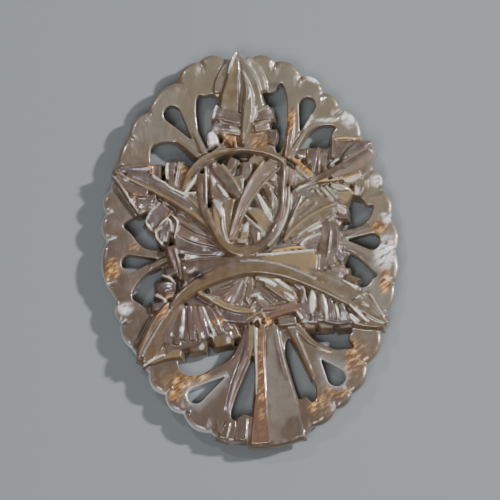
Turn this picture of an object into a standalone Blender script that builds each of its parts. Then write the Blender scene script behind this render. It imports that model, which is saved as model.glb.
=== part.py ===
"""Oval openwork ornament carved from one piece of mother-of-pearl shell.

A dished plate with a scalloped rim is sawn through in six bays. Leaves, stems and a looped vine stand up
from it in strips, each cut with sloping walls. The piece lies on a flat ground on its back, carved face up,
with the top of the oval towards +Y.
"""

import math

import bmesh
import bpy
from mathutils import Matrix, Vector

# Driving dimensions, in millimetres and degrees
MM = 0.001
HALF_LENGTH = 29.1
HALF_WIDTH = 20.8
OVAL_LEAN = 5.3
PLATE_THICKNESS = 1.9
DISH_RISE = 1.6
PAD_DEPTH = 0.15
WALL_DRAFT = 0.13
SCALLOP_RISE = 0.9
BLANK_MARGIN = 4
SAW_REACH = 10
FLOOR_SIZE = 100
WELD = 1e-7
SCALLOP_STEPS = 5
TEARDROP_STEPS = 9
BLANK_CELLS = (9, 12)
STRIP_INSET = 0.05

# Notches of the scalloped rim: angle round the oval, distance out as a share of the oval, and the rise of
# the scallop after it. The rise is 0 where a leaf tip or the foot of the ribbon takes the place of a scallop.
NOTCHES = (
    (83, 0.99, SCALLOP_RISE),
    (72, 1.01, SCALLOP_RISE),
    (61, 1.00, SCALLOP_RISE),
    (51, 1.00, 0.7),
    (43, 1.00, 1.3),
    (30, 0.99, 0),
    (21, 0.99, 0.7),
    (14, 1.00, SCALLOP_RISE),
    (5, 1.01, SCALLOP_RISE),
    (-5, 1.02, 0.6),
    (-14, 1.02, 0.5),
    (-23, 1.00, 0),
    (-29, 0.98, 1.0),
    (-41, 0.98, SCALLOP_RISE),
    (-52, 1.00, 0.6),
    (-60, 0.99, 0.7),
    (-71, 0.99, 0),
    (-76, 1.03, 0.4),
    (-97, 1.03, 0),
    (-99, 1.00, 0.7),
    (-113, 1.00, SCALLOP_RISE),
    (-125, 0.99, SCALLOP_RISE),
    (-134, 0.98, SCALLOP_RISE),
    (-143, 0.98, 0),
    (-153, 1.00, 0.6),
    (-161, 1.00, 0.5),
    (-168, 0.99, 0),
    (-173, 1.03, 0.8),
    (174, 1.00, 0.8),
    (166, 1.01, 0.8),
    (159, 1.01, 0),
    (151, 1.00, 0.4),
    (141, 1.00, 0.4),
    (133, 1.01, 0),
    (130, 0.98, SCALLOP_RISE),
    (114, 0.98, SCALLOP_RISE),
    (103, 1.02, 0.8),
    (93, 1.00, 0),
)

# Teardrop holes: centre and radius of the round end, then the pointed end
TEARDROPS = (
    ((-11.4, 20.3), 1.25, (-8.4, 16.4)),
    ((8.5, 21.7), 1.2, (7.4, 17.7)),
    ((17.9, 1.0), 1.2, (14.1, 1.4)),
    ((12.6, -19.3), 1.35, (10.3, -16.4)),
    ((-7.8, -22.0), 1.2, (-3.3, -18.9)),
    ((-17.4, -2.3), 1.25, (-13.3, -1.5)),
)

# The other sawn holes, anticlockwise; the side that runs under a leaf is plain
OPENINGS = {
    "left_of_top_leaf": ((-4.6, 22.8), (-5.5, 23.4), (-6.6, 23.1), (-7.7, 23.0), (-7.8, 19.9), (-7.1, 16.0),
                         (-6.2, 14.5), (-3.6, 17.0), (-3.1, 22.3)),
    "right_of_top_leaf": ((5.0, 24.5), (4.6, 25.1), (4.2, 24.8), (3.9, 24.0), (3.0, 23.6), (2.0, 23.6),
                          (1.3, 22.0), (1.8, 18.1), (3.0, 17.1), (4.2, 14.6), (5.0, 16.3), (5.5, 18.6),
                          (5.5, 22.5)),
    "above_left_leaf": ((-9.4, 15.2), (-10.9, 16.0), (-12.3, 16.1), (-13.5, 15.8), (-14.4, 15.2),
                        (-14.5, 13.0), (-13.8, 11.5), (-12.6, 9.9), (-10.1, 9.3), (-8.3, 11.5), (-7.1, 13.5)),
    "above_right_leaf": ((12.8, 18.2), (11.9, 18.6), (10.3, 18.5), (9.1, 17.9), (7.8, 16.8), (6.6, 15.5),
                         (5.8, 13.9), (7.1, 13.0), (8.3, 13.2), (10.3, 13.2), (11.7, 14.6), (12.1, 17.7)),
    "below_right_leaf": ((18.1, 6.4), (17.1, 6.5), (16.3, 7.5), (13.9, 7.5), (12.3, 5.0), (12.3, 2.9),
                         (14.7, 2.9), (16.1, 3.4), (17.1, 4.0), (17.8, 5.1)),
    "right_side": ((14.1, -0.6), (12.9, -1.2), (13.9, -4.2), (15.8, -5.6), (17.0, -5.7), (17.9, -4.6),
                   (18.6, -4.1), (17.6, -3.1), (16.6, -2.0), (15.4, -1.1)),
    "below_lower_right_leaf": ((14.9, -12.3), (13.9, -11.0), (8.8, -11.0), (7.4, -12.2), (8.5, -13.4),
                               (9.7, -14.4), (11.0, -14.9), (12.5, -15.1), (15.1, -14.8), (14.3, -13.5)),
    "right_of_ribbon": ((6.1, -13.6), (5.4, -13.6), (5.2, -15.7), (5.6, -18.7), (6.1, -20.8), (6.8, -22.3),
                        (7.5, -22.5), (7.9, -22.1), (8.4, -22.3), (9.0, -23.0), (9.6, -22.5), (9.5, -20.5),
                        (8.4, -18.2), (7.7, -16.4), (6.9, -14.6)),
    "left_of_ribbon": ((1.2, -12.9), (0.6, -12.9), (0.5, -15.8), (-0.7, -18.9), (-2.0, -22.2), (-2.6, -24.3),
                       (-2.6, -25.4), (-2.1, -25.7), (-1.1, -24.8), (0.0, -25.0), (0.5, -25.1), (1.0, -23.0),
                       (1.3, -20.3), (1.3, -15.0)),
    "below_lower_left_leaf": ((-0.5, -12.3), (-3.0, -12.4), (-5.8, -12.6), (-9.3, -12.8), (-10.6, -14.4),
                              (-10.2, -17.6), (-9.4, -18.9), (-8.0, -19.0), (-6.5, -18.7), (-5.3, -18.1),
                              (-3.6, -17.3), (-2.0, -16.4), (-1.4, -15.6), (-0.9, -13.8)),
    "below_left_leaf": ((-14.9, 5.2), (-16.7, 4.7), (-18.4, 3.4), (-17.3, 2.2), (-16.4, 1.0), (-15.4, 0.1),
                        (-13.8, -0.2), (-12.6, -0.3), (-11.1, 0.8), (-12.3, 2.5), (-13.6, 3.6)),
    "left_side": ((-11.8, -3.4), (-12.9, -2.9), (-15.0, -3.8), (-16.1, -5.0), (-16.9, -6.4), (-17.0, -7.6),
                  (-15.8, -8.4), (-15.0, -8.9), (-13.4, -7.9), (-12.3, -5.5)),
}

# Each carved strip is its sideways slope, then its stations from root to tip: x, y, half width and height
# above the back of the plate. A slope above 0 lifts the left side, seen along the strip.
TOP_LEAF = (
    (0.0, (-0.5, 15.3, 0.7, 4.1), (-0.3, 20.1, 0.75, 4.0), (-0.5, 23.8, 0.7, 3.7), (-0.9, 26.5, 0.5, 3.4),
     (-1.7, 29.5, 0.15, 2.9)),
    (-0.35, (-2.8, 21.9, 1.5, 3.1), (-2.6, 25.7, 0.95, 3.0), (-1.9, 29.0, 0.3, 2.7)),
    (0.35, (1.2, 22.0, 1.2, 3.0), (0.6, 24.8, 0.85, 3.0), (-0.9, 28.6, 0.4, 2.7)),
    (0.3, (-1.0, 19.6, 0.9, 3.5), (-5.2, 20.3, 0.9, 3.0)),
    (0.4, (-1.0, 17.7, 0.6, 3.1), (-5.5, 18.6, 0.7, 2.7)),
    (-0.3, (-2.0, 16.1, 0.9, 2.8), (-6.1, 16.7, 1.1, 2.6)),
    (-0.3, (0.5, 19.5, 0.9, 3.4), (3.5, 20.4, 1.1, 2.9)),
    (-0.35, (0.5, 18.0, 0.5, 3.2), (3.4, 18.5, 0.6, 2.8)),
    (0.2, (1.6, 15.2, 0.6, 2.9), (4.0, 17.9, 0.8, 2.5)),
)
RIGHT_LEAF = (
    (0.0, (6.2, 8.8, 0.6, 4.0), (8.8, 10.0, 0.6, 4.1), (11.5, 11.3, 0.55, 3.9), (13.9, 12.9, 0.5, 3.6),
     (16.4, 14.2, 0.4, 3.2), (18.3, 15.2, 0.2, 2.8)),
    (-0.4, (13.2, 12.4, 0.3, 3.5), (15.8, 14.6, 0.8, 3.1), (17.8, 15.5, 0.3, 2.7)),
    (0.2, (13.2, 12.2, 1.2, 3.4), (14.1, 16.2, 2.1, 2.9)),
    (0.3, (11.2, 11.6, 0.3, 3.6), (11.4, 14.7, 0.4, 3.0)),
    (0.3, (10.5, 11.0, 0.4, 3.8), (10.6, 15.1, 0.6, 3.0)),
    (-0.3, (9.6, 10.7, 0.4, 3.8), (9.5, 15.3, 0.65, 3.0)),
    (0.3, (8.0, 12.0, 0.4, 3.4), (7.1, 15.0, 0.85, 2.7)),
    (0.35, (13.0, 10.3, 0.4, 3.6), (15.2, 11.4, 0.9, 3.3), (17.0, 12.9, 0.8, 2.9), (17.9, 14.4, 0.3, 2.6)),
    (0.3, (15.2, 11.6, 0.7, 3.5), (15.6, 10.2, 0.85, 3.3), (15.0, 7.6, 0.75, 2.7)),
    (0.35, (11.6, 9.7, 0.6, 3.7), (13.9, 7.3, 1.4, 3.0)),
    (0.4, (10.4, 9.5, 0.25, 3.7), (12.2, 7.5, 0.4, 3.2)),
    (0.4, (9.7, 9.3, 0.25, 3.7), (11.3, 7.3, 0.4, 3.2)),
    (0.3, (7.6, 8.9, 0.4, 3.6), (9.0, 7.8, 0.7, 3.2)),
)
LOWER_RIGHT_LEAF = (
    (0.35, (7.8, -6.2, 0.5, 4.0), (8.7, -11.1, 0.95, 3.2)),
    (0.35, (9.4, -6.4, 0.5, 3.9), (10.8, -11.0, 1.0, 3.1)),
    (0.35, (11.3, -7.3, 0.5, 3.8), (13.0, -11.0, 1.1, 3.0)),
    (0.35, (13.2, -8.2, 0.5, 3.7), (15.2, -11.0, 1.0, 2.9)),
    (0.3, (14.5, -8.8, 0.4, 3.6), (16.9, -10.8, 0.9, 3.1), (19.4, -11.7, 0.4, 2.7)),
    (-0.3, (11.0, -5.8, 0.4, 3.9), (12.3, -4.4, 0.8, 3.2)),
    (-0.3, (13.4, -7.4, 0.5, 3.7), (15.0, -5.8, 0.85, 3.1)),
    (-0.3, (15.6, -8.8, 0.5, 3.4), (16.7, -7.3, 0.65, 3.0)),
    (-0.3, (17.2, -8.2, 0.5, 3.0), (18.6, -9.3, 0.6, 2.8), (19.7, -11.0, 0.25, 2.6)),
    (-0.25, (1.2, -2.0, 0.3, 4.9), (4.5, -2.0, 0.7, 4.7), (7.4, -1.9, 1.3, 4.3), (9.9, -2.4, 1.7, 3.8)),
)
LOWER_LEFT_LEAF = (
    (0.3, (-12.8, -8.0, 0.5, 3.6), (-14.4, -10.2, 0.7, 3.3), (-15.9, -13.7, 0.55, 3.0),
     (-16.2, -16.6, 0.2, 2.7)),
    (-0.25, (-10.9, -9.3, 0.4, 3.9), (-12.6, -12.2, 0.8, 3.6), (-14.4, -15.6, 0.9, 3.1),
     (-15.4, -17.2, 0.3, 2.8)),
    (0.2, (-12.4, -12.6, 0.6, 3.6), (-14.0, -16.1, 1.0, 3.2)),
    (0.3, (-10.5, -8.6, 0.35, 3.9), (-12.2, -14.8, 0.9, 3.2)),
    (0.3, (-10.2, -8.4, 0.35, 3.9), (-10.7, -14.9, 0.8, 3.2)),
    (0.3, (-9.0, -7.6, 0.35, 3.9), (-8.7, -14.5, 0.6, 3.2)),
    (0.3, (-8.6, -7.6, 0.35, 3.9), (-7.4, -14.4, 0.65, 3.2)),
    (0.3, (-7.4, -7.6, 0.3, 3.9), (-6.3, -13.9, 0.5, 3.2)),
    (0.3, (-6.8, -7.6, 0.35, 3.8), (-5.0, -13.7, 0.6, 3.2)),
    (0.3, (-6.2, -7.7, 0.4, 3.8), (-3.6, -13.2, 0.75, 3.2)),
    (0.25, (-4.6, -8.0, 0.5, 3.7), (-2.2, -12.8, 0.75, 3.1)),
    (0.2, (-11.2, -7.2, 0.5, 3.8), (-14.2, -8.0, 0.6, 3.1)),
    (0.3, (-10.1, -6.2, 0.6, 3.8), (-13.4, -5.9, 0.85, 3.0)),
    (0.3, (-9.8, -5.0, 0.5, 3.7), (-12.4, -4.0, 0.6, 3.0)),
)
LEFT_LEAF = (
    (0.0, (-2.8, 0.0, 0.6, 4.6), (-5.5, 2.6, 0.6, 4.4), (-8.7, 5.2, 0.6, 4.2), (-13.1, 7.8, 0.6, 3.9),
     (-17.4, 10.1, 0.5, 3.4), (-19.9, 11.4, 0.2, 2.8)),
    (-0.35, (-11.7, 8.6, 0.4, 3.8), (-14.2, 10.2, 0.8, 3.4), (-16.7, 11.3, 0.8, 3.1),
     (-19.9, 11.7, 0.2, 2.7)),
    (-0.25, (-6.1, 3.7, 0.7, 4.3), (-8.7, 6.5, 0.9, 4.1), (-11.6, 8.6, 0.7, 3.8), (-14.2, 10.3, 0.3, 3.5)),
    (-0.3, (-11.2, 9.2, 0.3, 3.7), (-12.0, 13.1, 0.45, 3.0)),
    (-0.3, (-10.6, 8.7, 0.35, 3.7), (-11.1, 13.2, 0.5, 3.0)),
    (-0.3, (-9.8, 8.4, 0.4, 3.7), (-9.8, 13.1, 0.6, 3.0)),
    (0.35, (-13.6, 6.7, 0.5, 3.7), (-16.0, 7.3, 0.9, 3.3), (-18.3, 9.2, 0.7, 3.0), (-20.0, 11.0, 0.2, 2.7)),
    (0.3, (-13.6, 7.2, 0.6, 3.6), (-16.2, 6.0, 0.75, 3.0)),
    (0.3, (-12.0, 6.3, 0.8, 3.7), (-14.5, 3.6, 0.85, 3.0)),
    (0.3, (-11.0, 4.4, 0.6, 3.7), (-13.2, 1.5, 0.85, 2.9)),
    (0.2, (-4.3, 0.9, 0.4, 4.2), (-8.0, 2.3, 0.6, 3.6), (-11.0, 3.0, 0.7, 3.3)),
    (0.2, (-4.0, -0.2, 0.4, 4.2), (-7.5, 0.6, 0.6, 3.5), (-10.8, 1.2, 0.7, 3.1)),
    (0.2, (-4.3, -1.1, 0.4, 4.2), (-7.5, -0.7, 0.5, 3.5), (-10.6, -0.6, 0.6, 3.0)),
    (-0.2, (-11.4, 0.4, 0.8, 3.3), (-11.0, -2.2, 0.7, 3.2), (-10.1, -4.7, 0.2, 2.9)),
)
STEMS = (
    (0.0, (-16.0, -16.7, 0.3, 2.9), (-15.4, -14.0, 0.55, 3.3), (-13.1, -10.4, 0.7, 3.8),
     (-10.1, -7.1, 0.75, 4.2), (-6.5, -4.9, 0.85, 4.6), (-2.1, -3.3, 0.95, 4.9), (1.8, -3.0, 0.9, 4.9),
     (5.9, -3.9, 0.75, 4.6), (10.3, -5.6, 0.65, 4.2), (13.9, -7.7, 0.55, 3.8), (17.1, -10.0, 0.4, 3.3),
     (19.6, -11.4, 0.2, 2.7)),
    (0.15, (0.1, -2.3, 0.5, 4.8), (-3.6, -2.5, 0.8, 4.6), (-7.2, -3.0, 1.2, 4.2), (-9.8, -3.6, 1.3, 3.7)),
    (0.0, (-9.3, 8.5, 0.45, 3.9), (-8.7, 10.3, 0.5, 4.1), (-8.0, 11.6, 0.5, 4.4), (-5.8, 13.0, 0.5, 4.6),
     (-3.3, 14.2, 0.5, 4.7), (-0.7, 14.5, 0.5, 4.8), (1.8, 14.4, 0.5, 4.7), (4.9, 13.4, 0.55, 4.6),
     (7.4, 11.7, 0.6, 4.3), (9.2, 10.5, 0.5, 4.1)),
    (0.0, (4.9, 12.4, 0.6, 4.4), (4.8, 7.6, 0.65, 4.7), (4.4, 4.6, 0.65, 4.8), (3.4, 1.8, 0.7, 4.9),
     (1.8, -0.2, 0.75, 4.9), (-0.2, -0.9, 0.75, 4.9), (-2.3, -0.2, 0.75, 4.9), (-4.3, 1.7, 0.8, 4.8),
     (-5.6, 4.8, 0.7, 4.7), (-6.4, 8.3, 0.45, 4.5), (-6.6, 11.8, 0.5, 4.3)),
    (0.2, (2.7, -0.6, 0.35, 4.4), (4.2, 0.7, 0.35, 4.3), (5.3, 3.3, 0.35, 4.2), (5.8, 6.3, 0.35, 4.1),
     (5.8, 9.1, 0.4, 3.9), (5.5, 12.0, 0.4, 3.6)),
)
CENTRE_LEAF = (
    (0.25, (-2.8, 0.7, 0.3, 4.6), (-2.3, 3.1, 0.35, 4.6), (-1.2, 6.3, 0.45, 4.5), (-0.2, 9.0, 0.5, 4.4),
     (1.4, 11.3, 0.45, 4.2), (2.7, 13.3, 0.4, 4.0)),
    (-0.25, (-2.1, 0.5, 0.3, 4.6), (-1.2, 3.6, 0.4, 4.6), (-0.1, 6.4, 0.5, 4.5), (1.1, 9.0, 0.55, 4.4),
     (2.8, 11.4, 0.5, 4.2), (4.6, 12.9, 0.45, 4.0)),
    (-0.3, (-1.6, 7.4, 0.5, 4.1), (-4.6, 12.4, 0.75, 3.6)),
    (-0.3, (-1.2, 7.2, 0.2, 3.9), (-1.7, 10.6, 0.8, 3.4)),
    (0.3, (-2.6, 6.5, 0.2, 3.8), (-5.7, 9.3, 0.95, 3.1)),
    (0.2, (-2.6, 6.0, 0.3, 3.4), (-5.6, 7.5, 0.5, 2.9)),
    (0.3, (-3.1, 0.6, 0.3, 4.5), (-4.8, 3.8, 0.7, 4.1), (-4.7, 6.2, 0.75, 3.7)),
    (-0.2, (-2.8, 1.0, 0.2, 4.1), (-3.0, 5.9, 0.95, 3.4)),
    (0.3, (2.0, 10.3, 0.25, 4.0), (4.0, 9.8, 0.4, 3.4)),
    (0.3, (2.4, 9.4, 0.35, 3.9), (3.8, 7.0, 0.65, 3.5), (4.0, 4.8, 0.5, 3.3)),
    (0.4, (1.3, 7.8, 0.35, 3.9), (3.1, 3.7, 0.5, 3.4)),
    (0.3, (0.3, 6.4, 0.35, 4.0), (2.7, 2.8, 0.75, 3.5)),
    (0.35, (-0.5, 5.0, 0.25, 3.9), (2.8, 1.8, 0.4, 3.5)),
    (0.3, (-0.6, 3.4, 0.3, 3.8), (-0.9, 0.6, 0.9, 3.4)),
    (-0.3, (0.2, 3.3, 0.4, 3.2), (0.8, 0.5, 0.7, 2.9)),
)
SIDE_LEAVES = (
    (0.0, (5.0, 0.8, 0.25, 4.4), (7.7, 3.1, 0.3, 4.2), (10.3, 5.3, 0.3, 3.9), (12.8, 6.5, 0.3, 3.5)),
    (0.3, (5.0, 1.1, 0.3, 4.2), (6.9, 3.8, 0.9, 3.9), (8.6, 5.9, 1.2, 3.6), (10.3, 6.8, 0.8, 3.4)),
    (-0.3, (5.6, 1.2, 0.3, 4.1), (8.1, 3.1, 0.6, 3.8), (10.6, 4.9, 0.5, 3.5), (12.9, 6.1, 0.4, 3.2)),
    (-0.3, (12.6, 5.9, 0.5, 3.2), (14.3, 5.2, 1.0, 2.7)),
    (-0.3, (11.9, 4.9, 0.5, 3.0), (13.3, 3.7, 0.7, 2.5)),
    (-0.35, (6.4, 1.0, 0.3, 4.0), (10.4, 3.4, 0.55, 3.3)),
    (-0.35, (6.6, 0.5, 0.3, 3.9), (10.4, 2.1, 0.55, 3.2)),
    (-0.35, (6.9, 0.0, 0.3, 3.8), (10.4, 0.8, 0.6, 3.1)),
    (0.2, (10.8, -3.3, 0.5, 3.7), (11.3, -0.5, 0.75, 3.6), (11.3, 2.2, 0.7, 3.5), (10.9, 5.0, 0.4, 3.2)),
    (-0.3, (11.7, 0.6, 0.6, 3.3), (13.8, -0.1, 0.9, 2.7)),
    (-0.3, (11.6, -1.6, 0.6, 3.3), (13.1, -2.2, 0.8, 2.8)),
    (-0.3, (11.8, -3.3, 0.7, 3.4), (14.9, -4.2, 1.1, 2.7)),
)
LOWER_CENTRE = (
    (0.0, (0.6, -4.9, 0.3, 3.9), (2.7, -5.8, 0.95, 3.9), (4.7, -6.9, 1.1, 3.8), (6.3, -8.4, 0.4, 3.4)),
    (0.0, (-2.0, -5.0, 0.2, 3.9), (-4.3, -6.1, 0.5, 3.6), (-6.3, -7.0, 0.2, 3.7)),
    (0.3, (-1.1, -4.4, 0.3, 3.9), (-3.1, -7.8, 0.55, 3.4)),
    (0.3, (-1.0, -4.4, 0.3, 3.9), (-1.8, -8.4, 0.5, 3.4)),
    (0.3, (-0.6, -4.4, 0.3, 3.9), (-0.5, -8.7, 0.5, 3.3)),
    (0.3, (-0.2, -4.4, 0.3, 3.9), (0.8, -8.2, 0.5, 3.3)),
    (0.0, (-7.6, -6.9, 0.3, 3.8), (-5.5, -8.2, 0.4, 3.9), (-3.1, -9.1, 0.45, 3.8), (0.4, -9.5, 0.5, 3.7)),
    (0.2, (0.8, -9.6, 0.5, 3.5), (4.0, -9.0, 0.5, 3.5), (7.4, -7.9, 0.5, 3.6)),
    (0.2, (0.6, -10.8, 0.6, 3.3), (4.0, -10.4, 0.6, 3.2), (7.4, -9.6, 0.6, 3.4)),
)
FAN = (
    (0.1, (1.8, -10.6, 0.45, 3.1), (2.3, -16.8, 0.85, 2.9), (2.0, -22.8, 1.05, 2.7), (1.5, -29.0, 1.2, 2.3)),
    (-0.15, (3.8, -11.2, 0.4, 2.9), (4.2, -16.8, 0.8, 2.7), (4.7, -22.0, 1.4, 2.5), (5.3, -28.3, 2.2, 2.1)),
    (-0.3, (7.9, -22.9, 0.3, 2.6), (7.5, -27.6, 0.5, 2.1)),
    (0.0, (0.2, -11.0, 0.45, 3.3), (-1.1, -15.2, 0.35, 3.0), (-3.1, -17.6, 0.35, 2.7),
     (-7.4, -20.0, 0.4, 2.3)),
    (0.0, (0.3, -11.6, 0.4, 3.3), (-0.4, -16.8, 0.35, 2.9), (-1.7, -20.5, 0.4, 2.6),
     (-3.2, -24.6, 0.35, 2.2)),
    (0.0, (6.0, -11.6, 0.45, 3.0), (7.5, -15.2, 0.4, 2.6), (9.4, -19.4, 0.4, 2.3)),
    (0.0, (6.6, -11.4, 0.5, 3.0), (9.3, -15.1, 0.4, 2.6), (13.0, -16.0, 0.35, 2.3)),
    (0.2, (-1.6, -25.3, 0.5, 2.4), (-2.5, -28.3, 0.7, 2.1)),
    (0.2, (-0.4, -25.3, 0.4, 2.4), (-0.7, -28.4, 0.5, 2.1)),
    (0.0, (-6.6, 14.3, 0.35, 2.7), (-8.2, 18.0, 0.4, 2.2)),
    (0.0, (-7.4, 13.9, 0.35, 2.7), (-10.8, 16.8, 0.35, 2.2)),
    (0.0, (5.4, 13.6, 0.4, 2.8), (6.1, 18.0, 0.4, 2.3), (6.5, 21.5, 0.35, 2.1)),
    (0.0, (5.8, 13.4, 0.4, 2.8), (8.0, 17.5, 0.35, 2.3), (10.6, 19.6, 0.35, 2.1)),
    (0.0, (11.8, 1.6, 0.4, 2.8), (15.4, 2.9, 0.35, 2.3), (17.8, 3.6, 0.35, 2.1)),
    (0.0, (12.0, 0.6, 0.4, 2.8), (15.2, -0.2, 0.35, 2.3), (17.9, -2.1, 0.35, 2.1)),
    (0.0, (-11.4, -1.2, 0.4, 2.7), (-14.6, -2.9, 0.35, 2.2)),
)
CARVING = (
    TOP_LEAF + RIGHT_LEAF + LOWER_RIGHT_LEAF + LOWER_LEFT_LEAF + LEFT_LEAF
    + STEMS + CENTRE_LEAF + SIDE_LEAVES + LOWER_CENTRE + FAN
)


def clear_scene():
    for old in list(bpy.data.objects):
        bpy.data.objects.remove(old, do_unlink=True)


def collection(name):
    made = bpy.data.collections.new(name)
    bpy.context.scene.collection.children.link(made)
    return made


def back_height(x, y):
    """Height of the back of the dished plate at a place, in millimetres."""
    return DISH_RISE * ((x / HALF_WIDTH) ** 2 + (y / HALF_LENGTH) ** 2) - PAD_DEPTH


def rim_point(angle, share):
    """A place on the leaning oval, at a share of its size."""
    turn = math.radians(angle)
    out = Vector((HALF_WIDTH * math.cos(turn), HALF_LENGTH * math.sin(turn)))
    return Matrix.Rotation(math.radians(OVAL_LEAN), 2) @ out * share


def scalloped_rim():
    """The rim as one closed outline, each scallop a shallow arc from notch to notch."""
    points = []
    for here, there in zip(NOTCHES, NOTCHES[1:] + NOTCHES[:1]):
        start = rim_point(here[0], here[1])
        end = rim_point(there[0], there[1])
        chord = end - start
        outward = Vector((-chord.y, chord.x)).normalized()
        steps = SCALLOP_STEPS if here[2] else 1
        for step in range(steps):
            along = step / steps
            rise = here[2] * math.sin(math.pi * along)
            points.append(start + chord * along + outward * rise)
    return points


def teardrop(centre, radius, tip):
    """A round end drawn out to a point."""
    centre = Vector(centre)
    reach = Vector(tip) - centre
    heading = math.atan2(reach.y, reach.x)
    opening = math.acos(radius / reach.length)
    points = [Vector(tip)]
    for step in range(TEARDROP_STEPS):
        turn = heading + opening + (2 * math.pi - 2 * opening) * step / (TEARDROP_STEPS - 1)
        points.append(centre + radius * Vector((math.cos(turn), math.sin(turn))))
    return points


def as_mesh(curve_object):
    """The curve's solid as a mesh object, with its caps joined to its walls."""
    graph = bpy.context.evaluated_depsgraph_get()
    mesh = bpy.data.meshes.new_from_object(curve_object.evaluated_get(graph))
    work = bmesh.new()
    work.from_mesh(mesh)
    bmesh.ops.remove_doubles(work, verts=work.verts, dist=WELD)
    bmesh.ops.recalc_face_normals(work, faces=work.faces)
    work.to_mesh(mesh)
    work.free()
    solid = bpy.data.objects.new(curve_object.name, mesh)
    solid.matrix_world = curve_object.matrix_world
    bpy.data.objects.remove(curve_object)
    return solid


def saw_cut(helpers):
    """The tall prism that the plate is sawn to: the rim outline with every hole in it."""
    curve = bpy.data.curves.new("saw_cut", "CURVE")
    curve.dimensions = "2D"
    curve.fill_mode = "BOTH"
    curve.extrude = SAW_REACH * MM
    outlines = [scalloped_rim()]
    outlines += [teardrop(*drop) for drop in TEARDROPS]
    outlines += [[Vector(point) for point in hole] for hole in OPENINGS.values()]
    for outline in outlines:
        spline = curve.splines.new("POLY")
        spline.points.add(len(outline) - 1)
        for place, point in zip(spline.points, outline):
            place.co = (point.x * MM, point.y * MM, 0, 1)
        spline.use_cyclic_u = True
    guide = bpy.data.objects.new("saw_cut", curve)
    helpers.objects.link(guide)
    bpy.context.view_layer.update()
    solid = as_mesh(guide)
    helpers.objects.link(solid)
    return solid


def dished_blank(parts):
    """The plate before it is sawn: a dished sheet of even thickness."""
    work = bmesh.new()
    bmesh.ops.create_grid(work, x_segments=BLANK_CELLS[0], y_segments=BLANK_CELLS[1], size=1)
    for vert in work.verts:
        x = vert.co.x * (HALF_WIDTH + BLANK_MARGIN)
        y = vert.co.y * (HALF_LENGTH + BLANK_MARGIN)
        vert.co = Vector((x, y, back_height(x, y))) * MM
    mesh = bpy.data.meshes.new("carved_shell")
    work.to_mesh(mesh)
    work.free()
    blank = bpy.data.objects.new("carved_shell", mesh)
    parts.objects.link(blank)
    wall = blank.modifiers.new("Plate thickness", "SOLIDIFY")
    wall.thickness = PLATE_THICKNESS * MM
    wall.offset = 1
    return blank


def strip_sections(slope, stations):
    """The four corners of a strip at each station: foot left, top left, top right, foot right."""
    places = [Vector(station[:2]) for station in stations]
    sections = []
    for index, (x, y, half_width, height) in enumerate(stations):
        ahead = places[min(index + 1, len(places) - 1)]
        behind = places[max(index - 1, 0)]
        heading = (ahead - behind).normalized()
        side = Vector((-heading.y, heading.x))
        foot_out = half_width + WALL_DRAFT * height
        end_out = heading * WALL_DRAFT * height
        foot_middle = places[index]
        if index == 0:
            foot_middle = foot_middle - end_out
        if index == len(stations) - 1:
            foot_middle = foot_middle + end_out
        corners = []
        for sign, at_foot in ((1, True), (1, False), (-1, False), (-1, True)):
            if at_foot:
                place = foot_middle + side * sign * foot_out
                level = STRIP_INSET
            else:
                place = places[index] + side * sign * half_width
                level = height + slope * sign * half_width
            corners.append(Vector((place.x, place.y, level + back_height(place.x, place.y))) * MM)
        sections.append(corners)
    return sections


def carved_strip(name, slope, stations, helpers):
    """One strip lofted through its sections and closed at both ends."""
    work = bmesh.new()
    rings = [[work.verts.new(corner) for corner in section] for section in strip_sections(slope, stations)]
    for ring, after in zip(rings, rings[1:]):
        for corner in range(4):
            beyond = (corner + 1) % 4
            work.faces.new((ring[corner], ring[beyond], after[beyond], after[corner]))
    work.faces.new(rings[0])
    work.faces.new(rings[-1])
    bmesh.ops.triangulate(work, faces=work.faces)
    bmesh.ops.recalc_face_normals(work, faces=work.faces)
    mesh = bpy.data.meshes.new(name)
    work.to_mesh(mesh)
    work.free()
    solid = bpy.data.objects.new(name, mesh)
    helpers.objects.link(solid)
    return solid


def resting_floor(helpers):
    """A block whose top is the flat ground that the back is rubbed down to."""
    work = bmesh.new()
    bmesh.ops.create_cube(work, size=FLOOR_SIZE * MM)
    bmesh.ops.translate(work, verts=work.verts, vec=(0, 0, -FLOOR_SIZE / 2 * MM))
    mesh = bpy.data.meshes.new("resting_floor")
    work.to_mesh(mesh)
    work.free()
    block = bpy.data.objects.new("resting_floor", mesh)
    helpers.objects.link(block)
    return block


def nacre():
    material = bpy.data.materials.new("nacre")
    material.use_nodes = True
    shader = material.node_tree.nodes["Principled BSDF"]
    shader.inputs["Base Color"].default_value = (0.55, 0.47, 0.38, 1)
    shader.inputs["Roughness"].default_value = 0.25
    shader.inputs["Metallic"].default_value = 0.0
    return material


def main():
    clear_scene()
    parts = collection("carved shell ornament")
    helpers = collection("cutters and strips")
    strips = collection("strips")
    shell = dished_blank(parts)
    sawn = shell.modifiers.new("Sawn outline", "BOOLEAN")
    sawn.operation = "INTERSECT"
    sawn.object = saw_cut(helpers)
    for number, (slope, *stations) in enumerate(CARVING, 1):
        carved_strip(f"strip_{number}", slope, stations, strips)
    carved = shell.modifiers.new("Carved strips", "BOOLEAN")
    carved.operation = "UNION"
    carved.operand_type = "COLLECTION"
    carved.collection = strips
    rubbed = shell.modifiers.new("Rubbed flat", "BOOLEAN")
    rubbed.operation = "DIFFERENCE"
    rubbed.object = resting_floor(helpers)
    for helper in list(helpers.objects) + list(strips.objects):
        helper.hide_render = True
        helper.display_type = "WIRE"
    helpers.hide_render = True
    strips.hide_render = True
    shell.data.materials.append(nacre())


main()
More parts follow.
